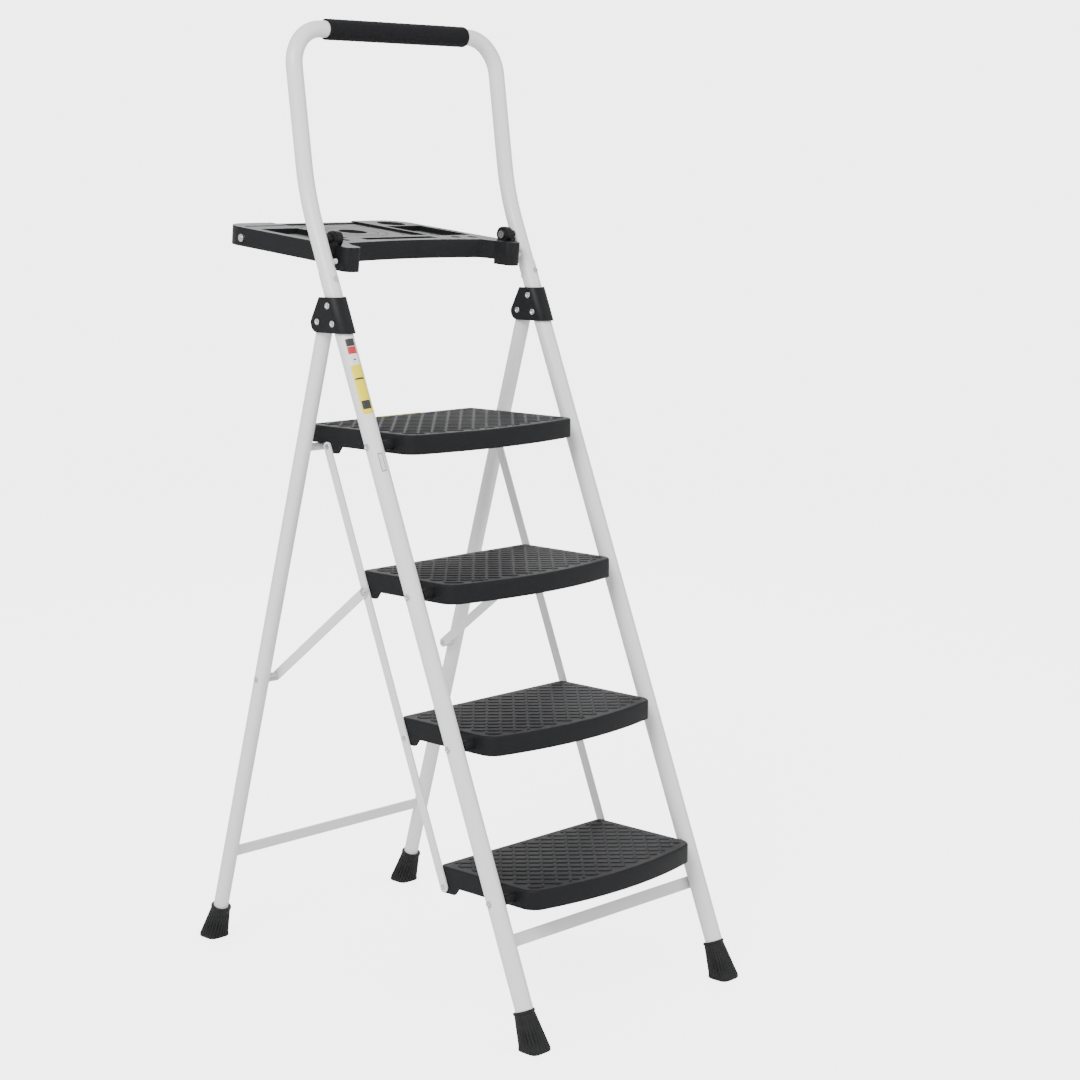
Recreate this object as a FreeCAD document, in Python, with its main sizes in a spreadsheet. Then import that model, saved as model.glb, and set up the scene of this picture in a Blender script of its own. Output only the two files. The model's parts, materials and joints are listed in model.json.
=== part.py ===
import FreeCAD, Part
import math
import os

import Sketcher

Vector = FreeCAD.Vector

# Frame: millimetres, +Z up, the user climbs from -Y, +X is the user's right hand.
# The origin is on the floor, in the middle of the footprint.

os.makedirs("parts", exist_ok=True)
doc = FreeCAD.newDocument("platform_step_ladder")

DRIVING_SIZES = (
    # front frame
    ("half_gauge", 226.0, "middle plane to the axis of a rail or rear leg"),
    ("rail_od", 28.6, "front rail tube, outside"),
    ("rail_wall", 1.5, "front rail tube, wall"),
    ("rail_lean", 21.4, "front rails lean back, degrees"),
    ("rail_top", 1252.0, "end of a rail, measured along it"),
    ("foot_spread", 776.0, "front to rear tube axes on the floor"),
    ("cross_height", 166.0, "height of the front crossbar, along the rails"),
    ("cross_depth", 20.0, "depth of a flat crossbar"),
    ("cross_gauge", 3.0, "thickness of a flat crossbar"),
    # rear frame
    ("leg_od", 25.4, "rear leg tube, outside"),
    ("leg_wall", 1.4, "rear leg tube, wall"),
    ("leg_lean", 16.2, "rear legs lean forward going up, degrees"),
    ("leg_setback", 32.2, "rear leg pivot behind the rail axis, square to it"),
    ("leg_end", 9.0, "rear leg tube above its pivot"),
    ("rear_cross_height", 161.0, "height of the lower rear crossbar"),
    ("latch_height", 875.0, "height of the round latch bar"),
    ("latch_set", 10.5, "round latch bar behind the rear leg axis, square to it"),
    ("latch_od", 13.0, "round latch bar, outside"),
    ("brace_height", 481.0, "height of the brace pivot on the rear leg"),
    # handrail
    ("hand_od", 27.0, "handrail tube, outside"),
    ("hand_wall", 1.2, "handrail tube, wall"),
    ("screw_set", 18.0, "handrail screws below the rail end"),
    ("spigot_len", 50.0, "swaged end of the handrail inside a rail"),
    ("hand_straight", 74.0, "straight handrail above the rail, to the side bend"),
    ("hand_bend", 420.0, "radius of the side bend"),
    ("hand_lean", 7.5, "handrail lean above the side bend, degrees"),
    ("hand_top", 1545.0, "height of the handrail's top axis"),
    ("corner_bend", 62.0, "radius of the top corners, on the axis"),
    ("grip_len", 308.0, "foam grip"),
    ("grip_od", 34.0, "foam grip, outside"),
    # knuckles
    ("sleeve_od", 37.2, "knuckle, outside"),
    ("cheek_gap", 28.8, "space between the two cheeks of a knuckle"),
    ("clamp_rise", 26.0, "upper clamp rivet above the leg pivot"),
    ("clamp_drop", 2.0, "lower clamp rivet below the leg pivot"),
    ("knuckle_rise", 39.0, "knuckle top above the leg pivot"),
    ("knuckle_drop", 17.0, "knuckle bottom below the leg pivot"),
    ("knuckle_rear", 16.5, "knuckle behind the leg pivot"),
    # feet
    ("sole_width", 42.0, "rubber sole across"),
    ("sole_length", 41.0, "rubber sole front to back"),
    ("boot_height", 44.0, "flared part of a foot"),
    ("collar_top", 62.0, "top of a foot's collar, along the tube"),
    ("collar_od", 35.0, "collar of a foot"),
    ("front_shift", 1.5, "front sole behind its tube axis"),
    ("rear_shift", 3.0, "rear sole behind its tube axis"),
    # steps
    ("first_step", 215.0, "height of the lowest step's front pivot"),
    ("step_rise", 227.0, "height between step pivots"),
    ("step_half", 189.0, "half the width of a step"),
    ("step_front", 42.0, "side of the front edge ahead of the pivot"),
    ("step_bow", 26.0, "middle of the front edge ahead of its sides"),
    ("step_rear", 164.0, "rear edge behind the pivot"),
    ("platform_rear", 206.0, "rear edge of the top step behind its pivot"),
    ("step_crown", 17.0, "top of the tread above the pivot"),
    ("step_skirt", 14.0, "lower edge of the skirt below the pivot"),
    ("step_wall", 3.2, "wall of a step"),
    ("lug_drop", 26.0, "lower edge of a rear lug below the pivot"),
    ("tie_back", 150.0, "rear pivot of a step behind its front pivot"),
    ("tie_drop", 16.0, "rear pivot of a step below its front pivot"),
    # flat bars
    ("strap_width", 16.0, "width of tie bars and brace links"),
    ("strap_gauge", 2.5, "thickness of tie bars and brace links"),
    ("strap_gap", 1.2, "air between a step and its tie bar"),
    ("link_gap", 1.4, "air between a tie bar and a brace link"),
    # tray
    ("tray_pivot_rise", 1215.0, "height of the tray's pivot"),
    ("tray_tilt", 6.0, "tray rises towards its rear edge, degrees"),
    ("tray_half", 197.5, "half the width of the tray"),
    ("tray_rear", 279.0, "rear edge of the tray behind its pivot"),
    ("tray_prong", 40.0, "prong ahead of the pivot"),
    ("prong_drop", 8.0, "prong below the rim"),
    ("tray_below", 9.5, "tray top below its pivot"),
    ("tray_depth", 31.0, "depth of the tray's rim"),
    ("tray_wall", 3.0, "wall of the tray"),
    ("tray_plate", 3.4, "plate of the tray"),
    ("pocket_depth", 8.0, "depth of the tray's pockets"),
    ("ear_od", 26.0, "round ear on each side of the tray"),
    ("ear_width", 12.0, "round ear across"),
    ("stud_od", 9.0, "stop stud under each ear"),
    ("stud_drop", 35.0, "stop stud below the tray's pivot"),
    ("stud_reach", 10.0, "stop stud inside the handrail tube's face"),
    ("holder_u", 174.0, "middle of the round holder behind the pivot"),
    # fits
    ("pivot_rivet", 8.0, "shank of a main pivot rivet"),
    ("small_rivet", 6.0, "shank of a small rivet or screw"),
    ("running_fit", 0.06, "radial air in a pivot"),
    ("seat_fit", 0.05, "radial air where fixed pieces meet"),
    ("side_gap", 0.6, "air beside a moving piece"),
)

sheet = doc.addObject("Spreadsheet::Sheet", "dims")
for row, (alias, number, note) in enumerate(DRIVING_SIZES, start=1):
    sheet.set(f"A{row}", note)
    sheet.set(f"B{row}", str(number))
    sheet.setAlias(f"B{row}", alias)
doc.recompute()


class Size:
    """A length or angle that carries both its number and its expression."""

    def __init__(self, number, text):
        self.number = float(number)
        self.text = text

    @staticmethod
    def of(item):
        return item if isinstance(item, Size) else Size(item, repr(float(item)))

    def _join(self, other, sign, number):
        return Size(number, f"({self.text} {sign} {Size.of(other).text})")

    def __add__(self, other):
        return self._join(other, "+", self.number + Size.of(other).number)

    def __sub__(self, other):
        return self._join(other, "-", self.number - Size.of(other).number)

    def __mul__(self, other):
        return self._join(other, "*", self.number * Size.of(other).number)

    def __truediv__(self, other):
        return self._join(other, "/", self.number / Size.of(other).number)

    def __radd__(self, other):
        return Size.of(other) + self

    def __rsub__(self, other):
        return Size.of(other) - self

    def __rmul__(self, other):
        return Size.of(other) * self

    def __neg__(self):
        return self * -1.0

    def sin(self):
        return Size(math.sin(math.radians(self.number)), f"sin({self.text})")

    def cos(self):
        return Size(math.cos(math.radians(self.number)), f"cos({self.text})")

    def tan(self):
        return Size(math.tan(math.radians(self.number)), f"tan({self.text})")


class Dims:
    """Every driving size by name, read back from the sheet."""


for alias, _, _ in DRIVING_SIZES:
    setattr(Dims, alias, Size(float(sheet.get(alias)), f"dims.{alias}"))
D = Dims

RAIL_R = D.rail_od / 2
LEG_R = D.leg_od / 2
HAND_R = D.hand_od / 2
SHANK_R = D.pivot_rivet / 2
SMALL_R = D.small_rivet / 2


# ---------------------------------------------------------------- placing

def about_x(angle):
    return f"rotation(vector(1; 0; 0); {Size.of(angle).text})"


def about_y(angle):
    return f"rotation(vector(0; 1; 0); {Size.of(angle).text})"


LEVEL = about_x(0)
ALONG_X = about_y(90)
ALONG_Y = about_x(-90)


def at(x, y, z, turn=LEVEL):
    """Expression of a placement at x, y, z with a turn."""
    parts = "; ".join(Size.of(c).text for c in (x, y, z))
    return f"placement(vector({parts}); {turn})"


def put(item, where):
    item.setExpression("Placement", where)
    return item


def bind(item, **sizes):
    for prop, size in sizes.items():
        item.setExpression(prop, Size.of(size).text)
    return item


# ---------------------------------------------------------------- simple solids

def cylinder(name, radius, length, where=None, angle=None):
    rod = bind(doc.addObject("Part::Cylinder", name), Radius=radius, Height=length)
    if angle is not None:
        bind(rod, Angle=angle)
    return put(rod, where) if where else rod


def box(name, dx, dy, dz, where):
    return put(bind(doc.addObject("Part::Box", name), Length=dx, Width=dy, Height=dz), where)


def torus(name, bend, radius, sweep, where):
    ring = doc.addObject("Part::Torus", name)
    bind(ring, Radius1=bend, Radius2=radius, Angle3=sweep)
    return put(ring, where)


def fuse(name, items):
    joined = doc.addObject("Part::MultiFuse", name)
    joined.Shapes = items
    return joined


def cut(name, base, tool):
    result = doc.addObject("Part::Cut", name)
    result.Base = base
    result.Tool = tool
    return result


def common(name, first, second):
    result = doc.addObject("Part::MultiCommon", name)
    result.Shapes = [first, second]
    return result


def group(name, items):
    """Several separate solids kept as one node."""
    bundle = doc.addObject("Part::Compound", name)
    bundle.Links = items
    return bundle


EXPORTS = []


def deliver(item, label, where=None):
    """Register a finished piece under its file name."""
    item.Label = label
    if where:
        put(item, where)
    EXPORTS.append(item)
    return item


# ---------------------------------------------------------------- sketched solids

def new_body(name):
    return doc.addObject("PartDesign::Body", name)


def sketch_on(body, name, role, offset):
    """A sketch on one of the body's own planes, moved along its normal."""
    sketch = body.newObject("Sketcher::SketchObject", name)
    plane = [f for f in body.Origin.OriginFeatures if f.Role == role][0]
    sketch.AttachmentSupport = [(plane, "")]
    sketch.MapMode = "FlatFace"
    sketch.setExpression("AttachmentOffset.Base.z", Size.of(offset).text)
    return sketch


def pin(sketch, index, point, corner):
    """Fix a sketch point to the two sizes of a corner."""
    for kind, size in zip(("DistanceX", "DistanceY"), corner):
        size = Size.of(size)
        row = sketch.addConstraint(Sketcher.Constraint(kind, index, point, size.number))
        sketch.setExpression(f"Constraints[{row}]", size.text)


def flat(corner):
    return Vector(Size.of(corner[0]).number, Size.of(corner[1]).number, 0)


def loop(sketch, corners, bows=None):
    """Closed outline through corners; bows maps a side's number to (crest, radius to its centre)."""
    bows = bows or {}
    first = sketch.GeometryCount
    count = len(corners)
    for side in range(count):
        start, end = flat(corners[side]), flat(corners[(side + 1) % count])
        if side in bows:
            crest = flat((0, bows[side][0]))
            turning_left = (crest - start).cross(end - crest).z > 0
            tips = (start, end) if turning_left else (end, start)
            sketch.addGeometry(Part.Arc(tips[0], crest, tips[1]), False)
        else:
            sketch.addGeometry(Part.LineSegment(start, end), False)
    ends = []
    for side in range(count):
        curve = sketch.Geometry[first + side]
        start = flat(corners[side])
        forward = (curve.StartPoint - start).Length < (curve.EndPoint - start).Length
        ends.append((1, 2) if forward else (2, 1))
    for side in range(count):
        after = (side + 1) % count
        joint = Sketcher.Constraint(
            "Coincident", first + side, ends[side][1], first + after, ends[after][0]
        )
        sketch.addConstraint(joint)
        pin(sketch, first + side, ends[side][0], corners[side])
        if side in bows:
            centre = bows[side][0] + bows[side][1]
            height = Sketcher.Constraint("DistanceY", first + side, 3, centre.number)
            row = sketch.addConstraint(height)
            sketch.setExpression(f"Constraints[{row}]", centre.text)


def disc(sketch, centre, radius):
    """A circle of a sketch."""
    radius = Size.of(radius)
    index = sketch.addGeometry(Part.Circle(flat(centre), Vector(0, 0, 1), radius.number), False)
    pin(sketch, index, 3, centre)
    row = sketch.addConstraint(Sketcher.Constraint("Radius", index, radius.number))
    sketch.setExpression(f"Constraints[{row}]", radius.text)


def rectangle(left, right, low, high):
    return [(left, low), (right, low), (right, high), (left, high)]


def pad(body, sketch, length, flip=False, centred=False):
    feature = body.newObject("PartDesign::Pad", sketch.Name + "_pad")
    feature.Profile = sketch
    feature.Reversed = flip
    feature.Midplane = centred
    return bind(feature, Length=length)


def pocket(body, sketch, length, flip=False):
    feature = body.newObject("PartDesign::Pocket", sketch.Name + "_cut")
    feature.Profile = sketch
    feature.Reversed = flip
    return bind(feature, Length=length)


def round_edges(body, name, radius, chosen):
    """Fillet the edges of the body's tip that a test picks."""
    doc.recompute()
    base = body.Tip
    names = [f"Edge{i}" for i, edge in enumerate(base.Shape.Edges, start=1) if chosen(edge)]
    if not names:
        raise RuntimeError(f"{name} finds no edge to round")
    feature = body.newObject("PartDesign::Fillet", name)
    feature.Base = (base, names)
    return bind(feature, Radius=radius)


def shell_from_below(body, name, wall):
    """Hollow the body's tip through its lowest flat face."""
    doc.recompute()
    base = body.Tip
    floor = base.Shape.BoundBox.ZMin
    faces = [f"Face{i}" for i, face in enumerate(base.Shape.Faces, start=1)
             if face.BoundBox.ZMax < floor + 0.01]
    feature = body.newObject("PartDesign::Thickness", name)
    feature.Base = (base, faces)
    feature.Reversed = True
    return bind(feature, Value=wall)


def upright_at(spots):
    """Test for a vertical edge that stands on one of some plan positions."""
    def chosen(edge):
        span = edge.BoundBox
        if span.XLength > 0.01 or span.YLength > 0.01:
            return False
        return any(
            abs(span.XMin - Size.of(x).number) < 0.05 and abs(span.YMin - Size.of(y).number) < 0.05
            for x, y in spots
        )
    return chosen


# ---------------------------------------------------------------- shared positions

front_y = -(D.foot_spread + D.front_shift + D.rear_shift) / 2
rear_y = front_y + D.foot_spread
pivot_z = (D.foot_spread - D.leg_setback / D.rail_lean.cos()) / (D.rail_lean.tan() + D.leg_lean.tan())
pivot_y = rear_y - pivot_z * D.leg_lean.tan()
RAIL_TURN = about_x(-D.rail_lean)
LEG_TURN = about_x(D.leg_lean)
SIDES = (("left", -1), ("right", 1))
CLAMP_RIVETS = (("high", D.clamp_rise), ("low", -D.clamp_drop))

screw_s = D.rail_top - D.screw_set
strap_in = D.step_half + D.strap_gap
strap_out = strap_in + D.strap_gauge
link_in = strap_out + D.link_gap
link_out = link_in + D.strap_gauge


def rail_y(z):
    """Y of the rail axis at a height."""
    return front_y + z * D.rail_lean.tan()


def leg_y(z):
    """Y of the rear leg axis at a height."""
    return rear_y - z * D.leg_lean.tan()


def step_z(number):
    return D.first_step + D.step_rise * (number - 1)


def crosswise(name, radius, inner, outer, side, y, z):
    """A rod along X between two distances from the middle plane."""
    start = inner if side > 0 else -outer
    return cylinder(name, radius, outer - inner, at(start, y, z, ALONG_X))


def rivet(name, radius, inner, outer, side, y, z, head=1.75, thick=None, heads=(True, True)):
    """A headed rivet along X; heads says whether it has an inner and an outer head."""
    pieces = [crosswise(name + "_shank", radius, inner, outer, side, y, z)]
    cap = radius * head
    thick = thick or radius * 0.5
    if heads[0]:
        pieces.append(crosswise(name + "_in", cap, inner - thick, inner, side, y, z))
    if heads[1]:
        pieces.append(crosswise(name + "_out", cap, outer, outer + thick, side, y, z))
    return fuse(name, pieces) if len(pieces) > 1 else pieces[0]


# ---------------------------------------------------------------- front rails

for word, side in SIDES:
    start = RAIL_R * D.rail_lean.tan() + 3
    outer = cylinder(f"rail_{word}_outer", RAIL_R, D.rail_top - start, at(0, 0, start))
    bore = cylinder(f"rail_{word}_bore", RAIL_R - D.rail_wall, D.rail_top, at(0, 0, 0))
    holes = [bore]
    for number in range(1, 5):
        s_pos = step_z(number) / D.rail_lean.cos()
        holes.append(cylinder(f"rail_{word}_step{number}_hole", SHANK_R + D.seat_fit, D.rail_od * 2,
                              at(-D.rail_od, 0, s_pos, ALONG_X)))
    for tag, rise in CLAMP_RIVETS:
        s_pos = (pivot_z + rise) / D.rail_lean.cos()
        holes.append(cylinder(f"rail_{word}_{tag}_hole", SMALL_R + D.seat_fit, D.rail_od * 2,
                              at(-D.rail_od, 0, s_pos, ALONG_X)))
    holes.append(cylinder(f"rail_{word}_screw_hole", SMALL_R + D.seat_fit, D.rail_od * 2,
                          at(0, -D.rail_od, screw_s, ALONG_Y)))
    tube = cut(f"rail_{word}", outer, fuse(f"rail_{word}_holes", holes))
    deliver(tube, f"rail_{word}", at(side * D.half_gauge, front_y, 0, RAIL_TURN))

# ---------------------------------------------------------------- handrail

straight_end = D.rail_top + D.hand_straight
bend_y = front_y + straight_end * D.rail_lean.sin()
bend_z = straight_end * D.rail_lean.cos()
upper_y = bend_y + D.hand_bend * (D.hand_lean.cos() - D.rail_lean.cos())
upper_z = bend_z + D.hand_bend * (D.rail_lean.sin() - D.hand_lean.sin())
corner_z = D.hand_top - D.corner_bend * D.hand_lean.cos()
upper_len = (corner_z - upper_z) / D.hand_lean.cos()
corner_y = upper_y + upper_len * D.hand_lean.sin()
grip_y = corner_y + D.corner_bend * D.hand_lean.sin()
HALF_TURN = "rotation(vector(0; 1; 1); 180)"
SIDEWAYS = "rotation(vector(1; 1; 1); 120)"


def hand_run(name, radius, spigot_radius):
    """The whole handrail path as one solid of a given radius."""
    runs = [cylinder(f"{name}_top", radius, (D.half_gauge - D.corner_bend) * 2,
                     at(D.corner_bend - D.half_gauge, grip_y, D.hand_top, ALONG_X))]
    for word, side in SIDES:
        x_pos = side * D.half_gauge
        spigot_y = front_y + (D.rail_top - D.spigot_len) * D.rail_lean.sin()
        spigot_z = (D.rail_top - D.spigot_len) * D.rail_lean.cos()
        runs.append(cylinder(f"{name}_{word}_spigot", spigot_radius, D.spigot_len + 2,
                             at(x_pos, spigot_y, spigot_z, RAIL_TURN)))
        low = D.rail_top + 0.3
        runs.append(cylinder(f"{name}_{word}_low", radius, straight_end - low,
                             at(x_pos, front_y + low * D.rail_lean.sin(), low * D.rail_lean.cos(),
                                RAIL_TURN)))
        runs.append(torus(f"{name}_{word}_bend", D.hand_bend, radius, D.rail_lean - D.hand_lean,
                          at(x_pos, bend_y - D.hand_bend * D.rail_lean.cos(),
                             bend_z + D.hand_bend * D.rail_lean.sin(),
                             f"{RAIL_TURN} * {SIDEWAYS}")))
        runs.append(cylinder(f"{name}_{word}_high", radius, upper_len,
                             at(x_pos, upper_y, upper_z, about_x(-D.hand_lean))))
        quarter = HALF_TURN if side < 0 else about_x(90)
        runs.append(torus(f"{name}_{word}_corner", D.corner_bend, radius, 90,
                          at(x_pos - side * D.corner_bend, corner_y, corner_z,
                             f"{about_x(-D.hand_lean)} * {quarter}")))
    return fuse(name, runs)


tray_y = bend_y + (D.tray_pivot_rise - bend_z) * D.rail_lean.tan()
stop_z = D.tray_pivot_rise - D.stud_drop
stop_y = tray_y - D.stud_drop * D.rail_lean.tan()

spigot_r = RAIL_R - D.rail_wall - D.seat_fit
hand_holes = [hand_run("hand_inner", HAND_R - D.hand_wall, spigot_r - D.hand_wall)]
for word, side in SIDES:
    hand_holes.append(crosswise(f"hand_{word}_tray_hole", SMALL_R + D.seat_fit,
                                D.half_gauge - D.hand_od, D.half_gauge, side, tray_y,
                                D.tray_pivot_rise))
    hand_holes.append(cylinder(f"hand_{word}_screw_hole", SMALL_R + D.seat_fit, D.rail_od * 2,
                               at(side * D.half_gauge,
                                  front_y + screw_s * D.rail_lean.sin()
                                  - D.rail_od * D.rail_lean.cos(),
                                  screw_s * D.rail_lean.cos() + D.rail_od * D.rail_lean.sin(),
                                  f"{RAIL_TURN} * {ALONG_Y}")))
handrail = cut("handrail", hand_run("hand_outer", HAND_R, spigot_r),
               fuse("hand_holes", hand_holes))
deliver(handrail, "handrail")

grip_x = D.grip_len / 2
foam = cut("handrail_grip",
           cylinder("grip_outer", D.grip_od / 2, D.grip_len, at(-grip_x, 0, 0, ALONG_X)),
           cylinder("grip_bore", HAND_R + D.seat_fit, D.grip_len * 1.2,
                    at(-grip_x * 1.2, 0, 0, ALONG_X)))
deliver(foam, "handrail_grip", at(0, grip_y, D.hand_top))

# screws that pin the handrail's swaged ends inside the rails, in the rail's own directions
screws = []
for word, side in SIDES:
    reach = D.rail_od + 0.4
    shank = cylinder(f"hand_screw_{word}_shank", SMALL_R, reach, at(0, -reach / 2, 0, ALONG_Y))
    caps = [cylinder(f"hand_screw_{word}_front", SMALL_R * 1.45, 2.4,
                     at(0, -reach / 2 - 2.4, 0, ALONG_Y)),
            cylinder(f"hand_screw_{word}_rear", SMALL_R * 1.45, 2.4,
                     at(0, reach / 2, 0, ALONG_Y))]
    screw = fuse(f"hand_screw_{word}", [shank] + caps)
    screws.append(put(screw, at(side * D.half_gauge, front_y + screw_s * D.rail_lean.sin(),
                                screw_s * D.rail_lean.cos(), RAIL_TURN)))
deliver(group("handrail_screws", screws), "handrail_screws")

# ---------------------------------------------------------------- knuckles

sleeve_r = D.sleeve_od / 2
knuckle_axis_y = rail_y(pivot_z)
setback_y = D.leg_setback / D.rail_lean.cos()
for word, side in SIDES:
    body = new_body(f"knuckle_{word}_body")
    side_view = sketch_on(body, f"knuckle_{word}_side", "YZ_Plane", 0)
    rear_edge = setback_y + D.knuckle_rear
    outline = [
        (-D.sleeve_od * 2, -D.knuckle_drop),
        (rear_edge, -D.knuckle_drop),
        (rear_edge, Size.of(1.0)),
        (D.knuckle_rise * D.rail_lean.tan() + sleeve_r * 0.86, D.knuckle_rise),
        (-D.sleeve_od * 2, D.knuckle_rise),
    ]
    loop(side_view, outline)
    pad(body, side_view, D.sleeve_od, centred=True)

    def heel(edge, edge_y=rear_edge, edge_z=-D.knuckle_drop):
        span = edge.BoundBox
        along_x = span.YLength < 0.01 and span.ZLength < 0.01
        return (along_x and abs(span.YMin - edge_y.number) < 0.05
                and abs(span.ZMin - edge_z.number) < 0.05)
    round_edges(body, f"knuckle_{word}_heel", D.knuckle_rear * 0.9, heel)

    reach = (D.knuckle_rise + D.knuckle_drop) * 3
    barrel = cylinder(f"knuckle_{word}_barrel", sleeve_r, reach, at(0, 0, -reach / 2))
    block = box(f"knuckle_{word}_block", D.sleeve_od, D.sleeve_od * 3, reach,
                at(-sleeve_r, 0, -reach / 2))
    envelope = put(fuse(f"knuckle_{word}_envelope", [barrel, block]), at(0, 0, 0, RAIL_TURN))
    solid = common(f"knuckle_{word}_solid", body, envelope)

    bore = cylinder(f"knuckle_{word}_bore", RAIL_R + D.seat_fit, reach,
                    at(0, 0, -reach / 2, LEVEL))
    slot = box(f"knuckle_{word}_slot", D.cheek_gap, D.sleeve_od * 3, reach,
               at(-D.cheek_gap / 2, 0, -reach / 2))
    inside = put(fuse(f"knuckle_{word}_inside", [bore, slot]), at(0, 0, 0, RAIL_TURN))
    tools = [inside]
    for tag, y_pos, z_pos, radius in (
        ("high", D.clamp_rise * D.rail_lean.tan(), D.clamp_rise, SMALL_R),
        ("low", -D.clamp_drop * D.rail_lean.tan(), -D.clamp_drop, SMALL_R),
        ("leg", setback_y, 0.0, SHANK_R),
    ):
        tools.append(cylinder(f"knuckle_{word}_{tag}_hole", radius + D.seat_fit, D.sleeve_od * 2,
                              at(-D.sleeve_od, y_pos, z_pos, ALONG_X)))
    knuckle = cut(f"knuckle_{word}", solid, fuse(f"knuckle_{word}_tools", tools))
    deliver(knuckle, f"knuckle_{word}", at(side * D.half_gauge, knuckle_axis_y, pivot_z))

fixed_rivets = []
leg_rivets = []
for word, side in SIDES:
    inner = D.half_gauge - sleeve_r - 0.1
    outer = D.half_gauge + sleeve_r + 0.1
    for tag, rise in CLAMP_RIVETS:
        z_pos = pivot_z + rise
        fixed_rivets.append(rivet(f"knuckle_{word}_{tag}_rivet", SMALL_R, inner, outer, side,
                                  rail_y(z_pos), z_pos))
    leg_rivets.append(rivet(f"leg_{word}_rivet", SHANK_R, inner, outer, side, pivot_y, pivot_z,
                            head=1.3))
deliver(group("knuckle_rivets", fixed_rivets), "knuckle_rivets")
deliver(group("leg_pivot_rivets", leg_rivets), "leg_pivot_rivets")

# ---------------------------------------------------------------- rear legs and crossbars

leg_top = pivot_z / D.leg_lean.cos() + D.leg_end
brace_y = leg_y(D.brace_height)
for word, side in SIDES:
    start = LEG_R * D.leg_lean.tan() + 3
    outer = cylinder(f"leg_{word}_outer", LEG_R, leg_top - start, at(0, 0, start))
    tools = [cylinder(f"leg_{word}_bore", LEG_R - D.leg_wall, leg_top * 2, at(0, 0, 0))]
    for tag, z_pos, radius in (("pivot", pivot_z, SHANK_R + D.running_fit),
                               ("brace", D.brace_height, SMALL_R + D.seat_fit)):
        tools.append(cylinder(f"leg_{word}_{tag}_hole", radius, D.leg_od * 2,
                              at(-D.leg_od, 0, z_pos / D.leg_lean.cos(), ALONG_X)))
    leg = cut(f"rear_leg_{word}", outer, fuse(f"leg_{word}_tools", tools))
    deliver(leg, f"rear_leg_{word}", at(side * D.half_gauge, rear_y, 0, LEG_TURN))


def coped_bar(name, bar, radius, length):
    """A crossbar whose ends are shaped to meet the two tubes, in the tubes' leaning frame."""
    posts = [cylinder(f"{name}_{word}_post", radius + D.seat_fit, length,
                      at(side * D.half_gauge, 0, 0)) for word, side in SIDES]
    return cut(name, bar, fuse(f"{name}_posts", posts))


# the front bar lies against the backs of the rails, behind the folded first step
front_bar_y = RAIL_R + D.seat_fit
front_bar_s = D.cross_height - D.cross_depth / 2
front_bar = box("front_crossbar", D.half_gauge * 2, D.cross_gauge, D.cross_depth,
                at(-D.half_gauge,
                   front_y + front_bar_y * D.rail_lean.cos() + front_bar_s * D.rail_lean.sin(),
                   front_bar_s * D.rail_lean.cos() - front_bar_y * D.rail_lean.sin(), RAIL_TURN))
deliver(front_bar, "front_crossbar")
rear_bar = box("rear_bar_blank", D.half_gauge * 2, D.cross_gauge, D.cross_depth,
               at(-D.half_gauge, -D.cross_gauge / 2,
                  D.rear_cross_height / D.leg_lean.cos() - D.cross_depth / 2))
deliver(coped_bar("rear_crossbar", rear_bar, LEG_R, leg_top), "rear_crossbar",
        at(0, rear_y, 0, LEG_TURN))
latch_bar = cylinder("latch_bar_blank", D.latch_od / 2, D.half_gauge * 2,
                     at(-D.half_gauge, D.latch_set, D.latch_height / D.leg_lean.cos(), ALONG_X))
deliver(coped_bar("latch_bar", latch_bar, LEG_R, leg_top), "latch_bar",
        at(0, rear_y, 0, LEG_TURN))

# rivet of each brace link, with the tube spacer between the leg and the link
brace_rivets = []
spacers = []
for word, side in SIDES:
    brace_rivets.append(rivet(f"brace_{word}_rivet", SMALL_R, link_in - 0.2,
                              D.half_gauge + LEG_R + 0.2, side, brace_y, D.brace_height, head=1.6,
                              thick=Size.of(0.8)))
    spacer_out = D.half_gauge - LEG_R * 0.8
    ring = cut(f"brace_{word}_ring",
               crosswise(f"brace_{word}_ring_outer", SMALL_R * 2.6, link_out + 0.3, spacer_out,
                         side, brace_y, D.brace_height),
               crosswise(f"brace_{word}_ring_bore", SMALL_R + D.seat_fit, link_out - 5,
                         spacer_out + 5, side, brace_y, D.brace_height))
    post = cylinder(f"brace_{word}_ring_post", LEG_R + D.seat_fit, leg_top,
                    at(side * D.half_gauge, rear_y, 0, LEG_TURN))
    spacers.append(cut(f"brace_{word}_spacer", ring, post))
deliver(group("brace_leg_rivets", brace_rivets), "brace_leg_rivets")
deliver(group("brace_spacers", spacers), "brace_spacers")

# ---------------------------------------------------------------- feet

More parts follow.
